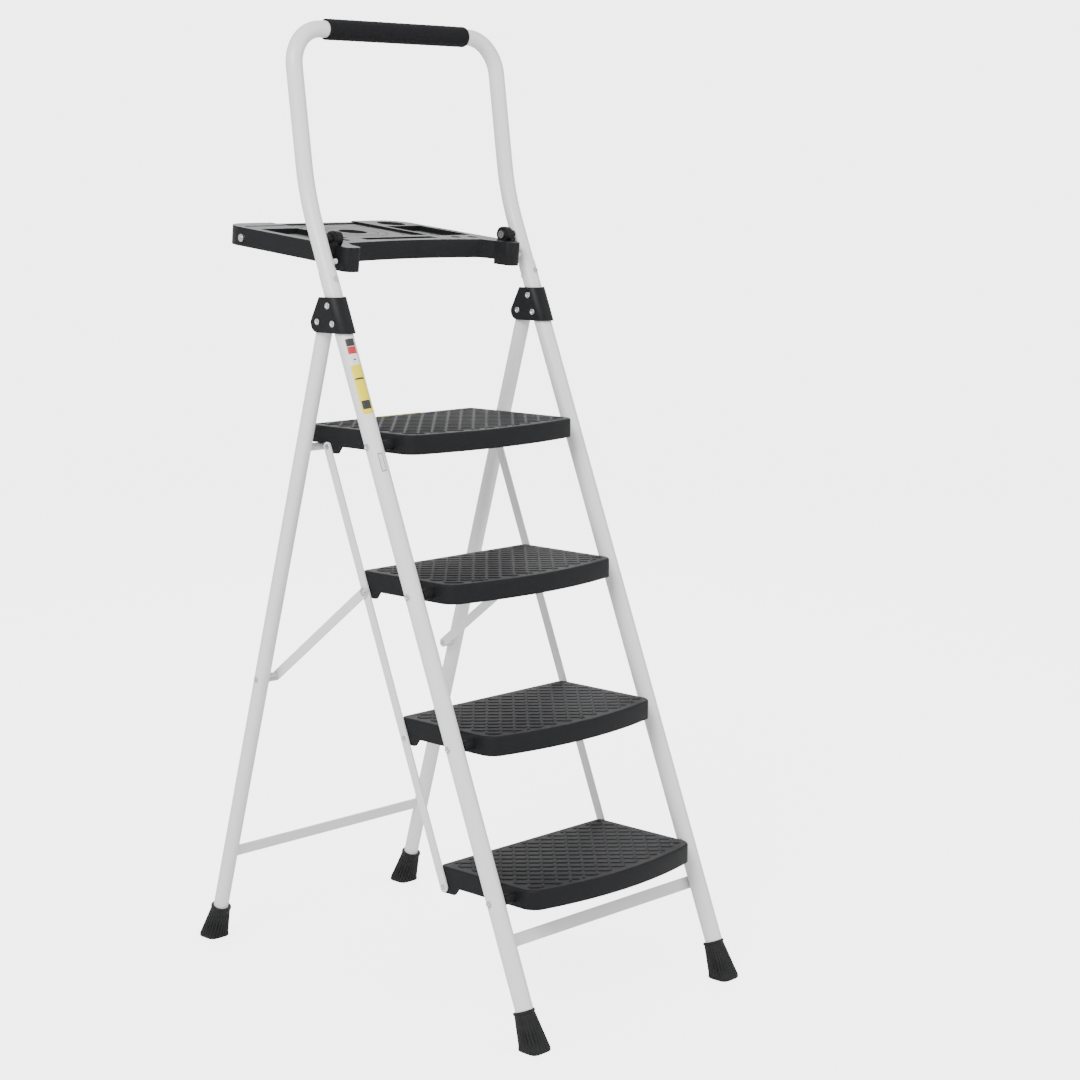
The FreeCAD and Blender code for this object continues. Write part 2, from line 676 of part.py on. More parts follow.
for end, base_y, shift, radius, tilt, lean, turn in (
    ("front", front_y, D.front_shift, RAIL_R, D.rail_lean, D.rail_lean, RAIL_TURN),
    ("rear", rear_y, D.rear_shift, LEG_R, D.leg_lean, -D.leg_lean, LEG_TURN),
):
    for word, side in SIDES:
        name = f"{end}_foot_{word}"
        boot = doc.addObject("Part::Wedge", f"{name}_boot")
        crest_y = D.boot_height * lean.tan()
        half_w = D.sole_width / 2
        half_l = D.sole_length / 2
        crest_r = D.collar_od / 2 * 0.94
        bind(boot, Xmin=-half_w, Xmax=half_w, Ymin=0, Ymax=D.boot_height,
             Zmin=-(shift + half_l), Zmax=half_l - shift, X2min=-crest_r, X2max=crest_r,
             Z2min=-(crest_y + crest_r), Z2max=crest_r - crest_y)
        put(boot, at(0, 0, 0, about_x(90)))
        collar = cylinder(f"{name}_collar", D.collar_od / 2, D.collar_top * 0.45,
                          at(0, D.collar_top * 0.55 * (lean.sin()),
                             D.collar_top * 0.55 * (lean.cos()), turn))
        socket_start = radius * tilt.tan() + 2.8
        socket = cylinder(f"{name}_socket", radius + D.seat_fit, D.collar_top * 2,
                          at(0, socket_start * lean.sin(), socket_start * lean.cos(), turn))
        foot = cut(name, fuse(f"{name}_solid", [boot, collar]), socket)
        deliver(foot, name, at(side * D.half_gauge, base_y, 0))

# ---------------------------------------------------------------- steps

boss_r = SHANK_R * 2.1
latch_y = leg_y(D.latch_height) + D.latch_set * D.leg_lean.cos()
latch_z = D.latch_height + D.latch_set * D.leg_lean.sin()
for number in range(1, 5):
    platform = number == 4
    name = f"step_{number}"
    pivot_at_z = step_z(number)
    rear = D.platform_rear if platform else D.step_rear
    body = new_body(name)

    def plan(half, front, back, bow):
        return [(-half, -front), (half, -front), (half, back), (-half, back)], {
            0: (-(front + bow), (half * half + bow * bow) / (bow * 2))}

    outer = sketch_on(body, f"{name}_plan", "XY_Plane", -D.step_skirt)
    corners, bows = plan(D.step_half, D.step_front, rear, D.step_bow)
    loop(outer, corners, bows)
    pad(body, outer, D.step_skirt + D.step_crown)
    round_edges(body, f"{name}_front_corners", 26.0, upright_at(corners[:2]))
    round_edges(body, f"{name}_rear_corners", 12.0, upright_at(corners[2:]))
    shell_from_below(body, f"{name}_shell", D.step_wall)
    wall = D.step_wall

    def crown_edge(edge, top=D.step_crown.number):
        return edge.BoundBox.ZMin > top - 0.01
    round_edges(body, f"{name}_crown", 3.0, crown_edge)

    # stiffening ribs under the tread
    rib_low = Size.of(-D.step_skirt * 0.25)
    rib_len = D.step_crown - D.step_wall - rib_low + 0.5
    long_ribs = sketch_on(body, f"{name}_long_ribs", "XY_Plane", rib_low)
    for share in (-0.62, -0.21, 0.21, 0.62):
        x_mid = D.step_half * share
        loop(long_ribs, rectangle(x_mid - 1.1, x_mid + 1.1, -D.step_front - 2, rear - wall / 2))
    pad(body, long_ribs, rib_len)
    cross_ribs = sketch_on(body, f"{name}_cross_ribs", "XY_Plane", rib_low)
    for y_mid in (Size.of(-D.step_front * 0.35), D.step_rear * 0.3, D.step_rear * 0.66):
        loop(cross_ribs, rectangle(-D.step_half + wall / 2, D.step_half - wall / 2,
                                   y_mid - 1.1, y_mid + 1.1))
    pad(body, cross_ribs, rib_len)

    for word, side in SIDES:
        tag = f"{name}_{word}"
        plane_x = side * D.step_half
        inward = side > 0
        # front boss reaches out to the rail, and in behind the side wall
        boss = sketch_on(body, f"{tag}_boss", "YZ_Plane", side * (D.step_half - 8))
        disc(boss, (Size.of(0), Size.of(0)), boss_r)
        pad(body, boss, D.half_gauge - RAIL_R - D.side_gap - D.step_half + 8, flip=not inward)
        # rear lug that carries the tie bar
        lug = sketch_on(body, f"{tag}_lug", "YZ_Plane", plane_x)
        lug_rear = D.tie_back + 10
        lug_front = D.tie_back - 29
        loop(lug, [
            (lug_front - 14, Size.of(0)), (lug_front, -D.step_skirt),
            (lug_front + 9, -D.lug_drop), (lug_rear - 3, -D.lug_drop),
            (lug_rear, -D.lug_drop + 3), (lug_rear, Size.of(0)),
        ])
        pad(body, lug, D.step_wall + 2.5, flip=inward)

    if platform:
        # room for the latch bar under the rear of the platform, then the hook behind it
        saddle = sketch_on(body, f"{name}_saddle", "YZ_Plane", 0)
        bar_y = latch_y - rail_y(pivot_at_z)
        bar_z = latch_z - pivot_at_z
        roof = bar_z + D.latch_od / 2 + 0.8
        loop(saddle, rectangle(D.tie_back + 10.2, rear + 5, -D.step_skirt - 20, roof))
        feature = pocket(body, saddle, D.step_half * 3)
        feature.Midplane = True
        hook = sketch_on(body, f"{name}_hook", "XY_Plane", bar_z - D.latch_od / 2)
        for share in (-0.5, 0.5):
            x_mid = D.step_half * share
            loop(hook, rectangle(x_mid - 45, x_mid + 45, rear - wall - 1, rear - 0.4))
        pad(body, hook, D.latch_od + 6)

    # pivot holes
    front_hole = sketch_on(body, f"{name}_front_holes", "YZ_Plane", 0)
    disc(front_hole, (Size.of(0), Size.of(0)), SHANK_R + D.running_fit)
    feature = pocket(body, front_hole, D.half_gauge * 3)
    feature.Midplane = True
    rear_hole = sketch_on(body, f"{name}_rear_holes", "YZ_Plane", 0)
    disc(rear_hole, (D.tie_back, -D.tie_drop), SMALL_R + D.running_fit)
    feature = pocket(body, rear_hole, D.half_gauge * 3)
    feature.Midplane = True
    deliver(body, name, at(0, rail_y(pivot_at_z), pivot_at_z))

step_rivets = []
for number in range(1, 5):
    z_pos = step_z(number)
    for word, side in SIDES:
        step_rivets.append(rivet(f"step_{number}_{word}_rivet", SHANK_R, D.step_half - 8.6,
                                 D.half_gauge + RAIL_R + 0.2, side, rail_y(z_pos), z_pos,
                                 head=1.3))
deliver(group("step_pivot_rivets", step_rivets), "step_pivot_rivets")

# ---------------------------------------------------------------- tie bars and brace links


def strap(name, length, x_in, holes, radius_of_hole, side):
    """A flat bar with round ends along local +Z from its first hole, lying at a distance x_in."""
    x_low = x_in if side > 0 else -(x_in + D.strap_gauge)
    half = D.strap_width / 2
    blank = fuse(f"{name}_blank", [
        box(f"{name}_plate", D.strap_gauge, D.strap_width, length, at(x_low, -half, 0)),
        cylinder(f"{name}_low_end", half, D.strap_gauge, at(x_low, 0, 0, ALONG_X)),
        cylinder(f"{name}_high_end", half, D.strap_gauge, at(x_low, 0, length, ALONG_X)),
    ])
    tools = [cylinder(f"{name}_hole{i}", radius_of_hole, D.strap_gauge * 5,
                      at(x_low - D.strap_gauge * 2, 0, z_pos, ALONG_X))
             for i, z_pos in enumerate(holes)]
    tool = fuse(f"{name}_holes", tools) if len(tools) > 1 else tools[0]
    return cut(name, blank, tool)


pitch = D.step_rise / D.rail_lean.cos()
for word, side in SIDES:
    bar = strap(f"tie_bar_{word}", pitch * 3, strap_in, [pitch * i for i in range(4)],
                SMALL_R + D.seat_fit, side)
    tie_y = rail_y(step_z(1)) + D.tie_back
    deliver(bar, f"tie_bar_{word}", at(0, tie_y, step_z(1) - D.tie_drop, RAIL_TURN))
    rivets = []
    for number in range(1, 5):
        flush = number == 3
        rivets.append(rivet(f"tie_{word}_{number}_rivet", SMALL_R,
                            D.step_half - D.step_wall - 2.5 - 0.4,
                            strap_out if flush else strap_out + 0.1, side,
                            rail_y(step_z(number)) + D.tie_back, step_z(number) - D.tie_drop,
                            head=1.6, thick=Size.of(0.8), heads=(True, not flush)))
    deliver(group(f"tie_rivets_{word}", rivets), f"tie_rivets_{word}")

third_y = rail_y(step_z(3)) + D.tie_back
third_z = step_z(3) - D.tie_drop
run_y = brace_y - third_y
run_z = third_z - D.brace_height
link_len = Size(math.hypot(run_y.number, run_z.number), f"hypot({run_y.text}; {run_z.text})")
link_slope = Size(math.degrees(math.atan2(run_y.number, run_z.number)),
                  f"atan({run_y.text} / {run_z.text})")
for word, side in SIDES:
    link = strap(f"brace_link_{word}", link_len, link_in, [Size.of(0)], SMALL_R + D.running_fit,
                 side)
    deliver(link, f"brace_link_{word}", at(0, brace_y, D.brace_height, about_x(link_slope)))
    caps = [crosswise(f"brace_cap_{word}_washer", D.strap_width * 0.46, link_out + 0.05,
                      link_out + 1.6, side, third_y, third_z),
            crosswise(f"brace_cap_{word}_dome", SMALL_R * 1.5, link_out + 1.6, link_out + 3.8,
                      side, third_y, third_z)]
    deliver(fuse(f"brace_cap_{word}", caps), f"brace_cap_{word}")

# ---------------------------------------------------------------- tool tray

tray = new_body("tool_tray")
top_w = -D.tray_below
half = D.tray_half
arc_x = half * 0.76
arc_u = 14.0
arc_rise = 13.5
rim = sketch_on(tray, "tray_plan", "XY_Plane", top_w)
arc_radius = (arc_x * arc_x + arc_rise * arc_rise) / (2 * arc_rise)
tray_corners = [
    (-half, D.tray_rear), (-half, -D.tray_prong), (-half + 30, -D.tray_prong),
    (-arc_x - 12, Size.of(-8.0)), (-arc_x, Size.of(arc_u)), (arc_x, Size.of(arc_u)),
    (arc_x + 12, Size.of(-8.0)), (half - 30, -D.tray_prong), (half, -D.tray_prong),
    (half, D.tray_rear),
]
loop(rim, tray_corners, {4: (Size.of(arc_u + arc_rise), -arc_radius)})
pad(tray, rim, D.tray_depth, flip=True)
# prongs hang deeper than the rim
prongs = sketch_on(tray, "tray_prongs", "XY_Plane", top_w - D.tray_depth)
loop(prongs, [(-half, Size.of(-8.0)), *tray_corners[1:4]])
loop(prongs, [*tray_corners[6:9], (half, Size.of(-8.0))])
pad(tray, prongs, D.prong_drop, flip=True)
corner = Size.of(44.0)
round_edges(tray, "tray_rear_corners", corner, upright_at([tray_corners[0], tray_corners[9]]))
round_edges(tray, "tray_prong_tips", 13.5, upright_at([tray_corners[i] for i in (1, 2, 7, 8)]))

# hollow underneath: a deep well, with a narrower one between the rounded rear corners
well = sketch_on(tray, "tray_well", "XY_Plane", top_w - D.tray_depth)
wall = D.tray_wall
loop(well, rectangle(-half + wall, half - wall, Size.of(arc_u + arc_rise + 5),
                     D.tray_rear - corner - 2))
loop(well, rectangle(-half + corner, half - corner, D.tray_rear - corner - 1, D.tray_rear - wall))
pocket(tray, well, D.tray_depth - D.tray_plate - D.pocket_depth, flip=True)

# two deep pockets, the square around the round holder, a rear strip and a front trough
pockets = sketch_on(tray, "tray_pockets", "XY_Plane", top_w)
for side in (-1, 1):
    x_pair = sorted((side * (half - 97), side * (half - 17.5)), key=lambda size: size.number)
    loop(pockets, rectangle(*x_pair, Size.of(71.0), D.tray_rear - 79))
pocket(tray, pockets, D.pocket_depth)
hollows = (
    ("square", half - 106.5, Size.of(84.0), D.tray_rear - 12, D.pocket_depth * 0.5),
    ("strip", half - 107, D.tray_rear - 12.5, D.tray_rear + 4, Size.of(2.0)),
    ("trough", half - 117, Size.of(46.0), Size.of(66.0), D.pocket_depth * 0.8),
)
for tag, reach_x, u_near, u_far, depth in hollows:
    hollow = sketch_on(tray, f"tray_{tag}", "XY_Plane", top_w)
    loop(hollow, rectangle(-reach_x, reach_x, u_near, u_far))
    pocket(tray, hollow, depth)

# openings for a bucket hook, tools and screwdrivers
big_x = half - 53.5
big_u = D.tray_rear - 45
through = sketch_on(tray, "tray_openings", "XY_Plane", top_w)
disc(through, (Size.of(0), D.holder_u), 25.5)
disc(through, (big_x, big_u), 25.0)
for reach_x, u_mid in ((half - 38.5, Size.of(44.0)), (half - 71.8, Size.of(49.8))):
    for side in (-1, 1):
        disc(through, (side * reach_x, u_mid), 8.8)
loop(through, rectangle(-half + 15.8, -half + 99.9, big_u - 1.6, big_u + 6.6))
loop(through, rectangle(half - 10, half - 5.3, Size.of(105.5), Size.of(160.0)))
pocket(tray, through, D.tray_depth * 3)

# rings of the round holder
for turn_number, ring_r in enumerate((88.0, 61.0, 46.0)):
    groove = sketch_on(tray, f"tray_ring_{turn_number}", "XY_Plane", top_w - D.pocket_depth * 0.5)
    disc(groove, (Size.of(0), D.holder_u), ring_r)
    disc(groove, (Size.of(0), D.holder_u), ring_r - 1.6)
    pocket(tray, groove, Size.of(0.9))

# ears with the pivot bore, their hubs, and the tooth that rests on the stop stud
ear_r = D.ear_od / 2
stud_r = D.stud_od / 2
tube_face = D.half_gauge - HAND_R
tilt_sin, tilt_cos = D.tray_tilt.sin(), D.tray_tilt.cos()
stud_u = (stop_y - tray_y) * tilt_cos + (stop_z - D.tray_pivot_rise) * tilt_sin
stud_w = (stop_z - D.tray_pivot_rise) * tilt_cos - (stop_y - tray_y) * tilt_sin
for word, side in SIDES:
    ear = sketch_on(tray, f"tray_{word}_ear", "YZ_Plane", side * half)
    disc(ear, (Size.of(0), Size.of(0)), ear_r)
    pad(tray, ear, D.ear_width, flip=side > 0)
    hub = sketch_on(tray, f"tray_{word}_hub", "YZ_Plane", side * (half - 2))
    disc(hub, (Size.of(0), Size.of(0)), ear_r * 0.9)
    pad(tray, hub, Size.of(6.0), flip=side < 0)
    spacer = sketch_on(tray, f"tray_{word}_spacer", "YZ_Plane", side * (half - 2))
    disc(spacer, (Size.of(0), Size.of(0)), SMALL_R * 2.2)
    pad(tray, spacer, tube_face - D.side_gap - half + 2, flip=side < 0)
    tooth = sketch_on(tray, f"tray_{word}_tooth", "YZ_Plane", side * (half - 2))
    tooth_u = stud_u + stud_r + 0.3
    loop(tooth, rectangle(tooth_u, tooth_u + 9, stud_w - 5, Size.of(-4.0)))
    pad(tray, tooth, Size.of(11.0), flip=side < 0)

bores = sketch_on(tray, "tray_bores", "YZ_Plane", 0)
disc(bores, (Size.of(0), Size.of(0)), SMALL_R + D.running_fit)
feature = pocket(tray, bores, D.half_gauge * 3)
feature.Midplane = True
deliver(tray, "tool_tray", at(0, tray_y, D.tray_pivot_rise, about_x(D.tray_tilt)))

pivot_screws = []
for word, side in SIDES:
    head_in = half - D.ear_width - 0.4 - 2.6
    shank = crosswise(f"tray_{word}_screw_shank", SMALL_R, head_in, tube_face + 4,
                      side, tray_y, D.tray_pivot_rise)
    head = crosswise(f"tray_{word}_screw_head", SMALL_R * 2.2, head_in, head_in + 2.6, side,
                     tray_y, D.tray_pivot_rise)
    slot_x = head_in - 1 if side > 0 else -head_in - 1.2
    slot = box(f"tray_{word}_screw_slot", Size.of(2.2), Size.of(20.0), Size.of(1.6),
               at(slot_x, tray_y - 10, D.tray_pivot_rise - 0.8))
    pivot_screws.append(cut(f"tray_{word}_screw", fuse(f"tray_{word}_screw_solid", [shank, head]),
                            slot))
deliver(group("tray_pivot_screws", pivot_screws), "tray_pivot_screws")

studs = []
for word, side in SIDES:
    stud = crosswise(f"stop_{word}_stud_blank", stud_r, tube_face - D.stud_reach, D.half_gauge,
                     side, stop_y, stop_z)
    post = cylinder(f"stop_{word}_post", HAND_R + D.seat_fit, D.rail_top,
                    at(side * D.half_gauge, front_y + D.rail_top * D.rail_lean.sin() / 2,
                       D.rail_top * D.rail_lean.cos() / 2, RAIL_TURN))
    studs.append(cut(f"stop_{word}_stud", stud, post))
deliver(group("tray_stop_studs", studs), "tray_stop_studs")

snap_studs = []
for word, side in SIDES:
    flange = crosswise(f"snap_{word}_flange", Size.of(6.5), half + 0.05, half + 4.0, side,
                       Size.of(0), Size.of(0))
    cap = crosswise(f"snap_{word}_cap", Size.of(3.6), half + 4.0, half + 5.6, side, Size.of(0),
                    Size.of(0))
    snap_studs.append(fuse(f"snap_{word}", [flange, cap]))
snaps = group("tray_side_studs", snap_studs)
snap_u = D.tray_rear * 0.8
snap_w = -(D.tray_below + D.tray_depth * 0.55)
deliver(snaps, "tray_side_studs",
        at(0, tray_y + snap_u * tilt_cos - snap_w * tilt_sin,
           D.tray_pivot_rise + snap_u * tilt_sin + snap_w * tilt_cos,
           about_x(D.tray_tilt)))

# ---------------------------------------------------------------- checks and export

doc.recompute()
problems = [o.Name for o in doc.Objects if "Invalid" in o.State or "Error" in o.State]
for item in EXPORTS:
    shape = item.Shape
    if shape.isNull() or not shape.isValid() or not shape.Solids:
        problems.append(item.Label)
if problems:
    raise RuntimeError(f"pieces that did not build: {problems}")
for item in EXPORTS:
    item.Shape.exportStep(f"parts/{item.Label}.step")
print(f"{len(EXPORTS)} pieces")
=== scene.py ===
"""Looks of a folding platform step ladder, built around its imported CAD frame.

Each class below is one sub-assembly of the ladder. Lengths are in metres, in the row frame: +Z up,
the user climbs from -Y, +X is the user's right hand.
"""
import json
import logging
import math
from dataclasses import dataclass, field
from enum import Enum

import bpy
import numpy as np
from mathutils import Matrix, Vector


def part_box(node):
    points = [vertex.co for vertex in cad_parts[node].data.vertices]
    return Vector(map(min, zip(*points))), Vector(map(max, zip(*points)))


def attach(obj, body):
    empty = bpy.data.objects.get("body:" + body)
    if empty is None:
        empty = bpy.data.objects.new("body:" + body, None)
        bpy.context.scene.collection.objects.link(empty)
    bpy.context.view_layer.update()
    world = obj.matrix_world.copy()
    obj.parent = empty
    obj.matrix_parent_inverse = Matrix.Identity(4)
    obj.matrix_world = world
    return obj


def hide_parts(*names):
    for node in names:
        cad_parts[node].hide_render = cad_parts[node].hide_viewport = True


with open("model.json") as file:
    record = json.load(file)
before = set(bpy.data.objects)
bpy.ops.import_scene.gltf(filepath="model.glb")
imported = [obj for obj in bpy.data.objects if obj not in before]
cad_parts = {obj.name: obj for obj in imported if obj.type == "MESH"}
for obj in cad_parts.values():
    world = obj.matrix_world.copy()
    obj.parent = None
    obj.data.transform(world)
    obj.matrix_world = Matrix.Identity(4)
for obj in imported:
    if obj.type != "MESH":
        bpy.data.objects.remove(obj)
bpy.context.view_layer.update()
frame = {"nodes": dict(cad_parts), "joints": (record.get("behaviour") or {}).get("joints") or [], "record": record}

LOG = logging.getLogger("step_ladder")
SIDES = (("left", -1.0), ("right", 1.0))


class Slot(str, Enum):
    """The record's material slots."""

    TUBE = "painted_tube"
    FLAT = "painted_flat"
    PLASTIC = "black_plastic"
    STEP = "step_plastic"
    FOAM = "foam_grip"
    RUBBER = "rubber_feet"
    STEEL = "zinc_steel"
    WHITE = "white_plastic"


# ---------------------------------------------------------------- finishes

@dataclass(frozen=True)
class Finish:
    """A surface finish, as one procedural material.

    Attributes:
        name: name of the material.
        base: base colour, linear.
        rough: roughness.
        metallic: metallic share.
        grain: size of the fine bumps, in metres.
        depth: strength of the fine bumps.
        mottle: how much the colour varies, as a share.
        rough_span: how much the roughness varies up and down.
        coat: clear coat weight.
        specular: specular level.
        stretch: how far the grain is drawn out along each axis.
        cells: whether the grain is foam cells instead of noise.
    """

    name: str
    base: tuple[float, float, float]
    rough: float
    metallic: float = 0.0
    grain: float = 0.0008
    depth: float = 0.1
    mottle: float = 0.04
    rough_span: float = 0.05
    coat: float = 0.0
    specular: float = 0.5
    stretch: tuple[float, float, float] = (1.0, 1.0, 1.0)
    cells: bool = False

    def material(self) -> bpy.types.Material:
        """Builds the node tree once and gives the material.

        Returns:
            The material, made on first use.
        """
        known = bpy.data.materials.get(self.name)
        if known:
            return known
        made = bpy.data.materials.new(self.name)
        made.use_nodes = True
        tree = made.node_tree
        shader = tree.nodes["Principled BSDF"]
        shader.inputs["Metallic"].default_value = self.metallic
        shader.inputs["Coat Weight"].default_value = self.coat
        shader.inputs["Coat Roughness"].default_value = 0.12
        shader.inputs["Specular IOR Level"].default_value = self.specular
        place = tree.nodes.new("ShaderNodeTexCoord")
        spread = tree.nodes.new("ShaderNodeMapping")
        spread.inputs["Scale"].default_value = self.stretch
        tree.links.new(place.outputs["Object"], spread.inputs["Vector"])
        cloud = self._noise(tree, spread, 9.0, 3.0)
        fine = self._noise(tree, spread, 1.0 / self.grain, 2.0)
        self._colour(tree, cloud, shader)
        self._roughness(tree, fine, cloud, shader)
        height = self._cells(tree, spread) if self.cells else fine.outputs["Fac"]
        bump = tree.nodes.new("ShaderNodeBump")
        bump.inputs["Strength"].default_value = self.depth
        bump.inputs["Distance"].default_value = self.grain * 0.5
        tree.links.new(height, bump.inputs["Height"])
        tree.links.new(bump.outputs["Normal"], shader.inputs["Normal"])
        return made

    @staticmethod
    def _noise(tree: bpy.types.NodeTree, spread: bpy.types.Node, scale: float,
               detail: float) -> bpy.types.Node:
        """Adds one noise texture.

        Args:
            tree: node tree.
            spread: mapping node that feeds it.
            scale: noise scale, per metre.
            detail: octaves.

        Returns:
            The noise node.
        """
        noise = tree.nodes.new("ShaderNodeTexNoise")
        noise.inputs["Scale"].default_value = scale
        noise.inputs["Detail"].default_value = detail
        tree.links.new(spread.outputs["Vector"], noise.inputs["Vector"])
        return noise

    def _cells(self, tree: bpy.types.NodeTree, spread: bpy.types.Node) -> bpy.types.NodeSocket:
        """Adds foam cells.

        Args:
            tree: node tree.
            spread: mapping node that feeds them.

        Returns:
            The height output of the cells.
        """
        cells = tree.nodes.new("ShaderNodeTexVoronoi")
        cells.inputs["Scale"].default_value = 1.0 / self.grain
        tree.links.new(spread.outputs["Vector"], cells.inputs["Vector"])
        return cells.outputs["Distance"]

    def _colour(self, tree: bpy.types.NodeTree, cloud: bpy.types.Node,
                shader: bpy.types.Node) -> None:
        """Mixes a darker and a lighter shade by the broad noise.

        Args:
            tree: node tree.
            cloud: broad noise.
            shader: the surface shader.
        """
        mix = tree.nodes.new("ShaderNodeMix")
        mix.data_type = "RGBA"
        low = [channel * (1.0 - self.mottle) for channel in self.base] + [1.0]
        high = [min(1.0, channel * (1.0 + self.mottle)) for channel in self.base] + [1.0]
        mix.inputs["A"].default_value = low
        mix.inputs["B"].default_value = high
        tree.links.new(cloud.outputs["Fac"], mix.inputs["Factor"])
        tree.links.new(mix.outputs["Result"], shader.inputs["Base Color"])

    def _roughness(self, tree: bpy.types.NodeTree, fine: bpy.types.Node, cloud: bpy.types.Node,
                   shader: bpy.types.Node) -> None:
        """Varies the roughness with both noises.

        Args:
            tree: node tree.
            fine: fine noise.
            cloud: broad noise.
            shader: the surface shader.
        """
        both = tree.nodes.new("ShaderNodeMath")
        both.operation = "MULTIPLY"
        tree.links.new(fine.outputs["Fac"], both.inputs[0])
        tree.links.new(cloud.outputs["Fac"], both.inputs[1])
        span = tree.nodes.new("ShaderNodeMapRange")
        span.inputs["From Min"].default_value = 0.1
        span.inputs["From Max"].default_value = 0.45
        span.inputs["To Min"].default_value = max(0.02, self.rough - self.rough_span)
        span.inputs["To Max"].default_value = min(1.0, self.rough + self.rough_span)
        tree.links.new(both.outputs["Value"], span.inputs["Value"])
        tree.links.new(span.outputs["Result"], shader.inputs["Roughness"])


FINISHES = {
    Slot.TUBE: Finish("white powder coat", (0.90, 0.90, 0.895), 0.34, grain=0.0022, depth=0.06,
                      mottle=0.012, coat=0.25),
    Slot.FLAT: Finish("white powder coat on flat bar", (0.87, 0.87, 0.865), 0.38, grain=0.0022,
                      depth=0.07, mottle=0.015, coat=0.15),
    Slot.PLASTIC: Finish("moulded black plastic", (0.0125, 0.0127, 0.0135), 0.44, grain=0.0007,
                         depth=0.16, mottle=0.12, specular=0.16),
    Slot.STEP: Finish("moulded step plastic", (0.0125, 0.0127, 0.0135), 0.50, grain=0.0008,
                      depth=0.18, mottle=0.10, specular=0.14),
    Slot.FOAM: Finish("black foam", (0.0095, 0.0095, 0.0105), 0.82, grain=0.0012, depth=0.55,
                      mottle=0.2, specular=0.2, cells=True),
    Slot.RUBBER: Finish("black rubber", (0.0105, 0.0105, 0.0110), 0.58, grain=0.0010, depth=0.22,
                        mottle=0.12, specular=0.3),
    Slot.STEEL: Finish("bright zinc-plated steel", (0.66, 0.66, 0.65), 0.30, metallic=1.0,
                       grain=0.0011, depth=0.12, mottle=0.06, rough_span=0.09),
    Slot.WHITE: Finish("white plastic", (0.88, 0.88, 0.87), 0.28, grain=0.0010, depth=0.05,
                       mottle=0.02, coat=0.3),
}
LABEL_YELLOW = Finish("yellow label", (1.0, 0.80, 0.0), 0.42, depth=0.04, mottle=0.03)
LABEL_DARK = Finish("dark label print", (0.03, 0.03, 0.03), 0.45, depth=0.04, mottle=0.05)
LABEL_RED = Finish("red label print", (0.55, 0.03, 0.03), 0.42, depth=0.04, mottle=0.04)
LABEL_WHITE = Finish("white label", (0.78, 0.78, 0.76), 0.42, depth=0.04, mottle=0.02)
FLOOR = Finish("studio floor", (0.88, 0.88, 0.88), 0.7, grain=0.02, depth=0.01, mottle=0.003,
               specular=0.1)


# ---------------------------------------------------------------- surfaces

@dataclass
class Surface:
    """A mesh as plain arrays.

    Attributes:
        points: vertex positions, (n, 3).
        quads: vertex numbers, (m, 4).
        tris: vertex numbers, (k, 3).
        fans: many-sided flat faces, each a list of vertex numbers.
    """

    points: np.ndarray
    quads: np.ndarray = field(default_factory=lambda: np.zeros((0, 4), int))
    tris: np.ndarray = field(default_factory=lambda: np.zeros((0, 3), int))
    fans: list = field(default_factory=list)

    def moved(self, turn: Matrix) -> "Surface":
        """Gives the surface moved by a transform.

        Args:
            turn: the transform.

        Returns:
            A moved surface with the same faces.
        """
        matrix = np.array(turn.to_4x4())
        return Surface(self.points @ matrix[:3, :3].T + matrix[:3, 3], self.quads, self.tris,
                       self.fans)

    @staticmethod
    def joined(parts: list["Surface"]) -> "Surface":
        """Puts several surfaces in one mesh.

        Args:
            parts: the surfaces.

        Returns:
            One surface that holds them all, not welded together.
        """
        starts = np.cumsum([0] + [len(part.points) for part in parts[:-1]])
        return Surface(
            np.concatenate([part.points for part in parts]),
            np.concatenate([part.quads + start for part, start in zip(parts, starts)]),
            np.concatenate([part.tris + start for part, start in zip(parts, starts)]),
            [[number + start for number in fan] for part, start in zip(parts, starts)
             for fan in part.fans],
        )

    def object(self, name: str, finish: Finish, smooth: float | None = 40.0) -> bpy.types.Object:
        """Makes the Blender object, with its normals pointing outwards.

        Args:
            name: name of the object.
            finish: its finish.
            smooth: edges flatter than this many degrees are shaded smooth, None for none.

        Returns:
            The object, linked to the scene.
        """
        faces = self.quads.tolist() + self.tris.tolist() + self.fans
        mesh = bpy.data.meshes.new(name)
        mesh.from_pydata(self.points.tolist(), [], faces)
        mesh.validate()
        mesh.materials.append(finish.material())
        if smooth is not None:
            mesh.polygons.foreach_set("use_smooth", np.ones(len(mesh.polygons), dtype=bool))
            mesh.set_sharp_from_angle(angle=math.radians(smooth))
        mesh.update()
        made = bpy.data.objects.new(name, mesh)
        bpy.context.scene.collection.objects.link(made)
        return made


def grid_quads(rows: int, cols: int, wrap_rows: bool = False,
               wrap_cols: bool = False) -> np.ndarray:
    """Faces of a grid of rows times cols points, row by row.

    Args:
        rows: number of rows of points.
        cols: number of points in a row.
        wrap_rows: whether the last row joins the first.
        wrap_cols: whether the last column joins the first.

    Returns:
        Vertex numbers of the quads, (m, 4).
    """
    row, col = np.meshgrid(np.arange(rows if wrap_rows else rows - 1),
                           np.arange(cols if wrap_cols else cols - 1), indexing="ij")
    next_row, next_col = (row + 1) % rows, (col + 1) % cols
    corners = (row * cols + col, row * cols + next_col, next_row * cols + next_col,
               next_row * cols + col)
    return np.stack(corners, -1).reshape(-1, 4)


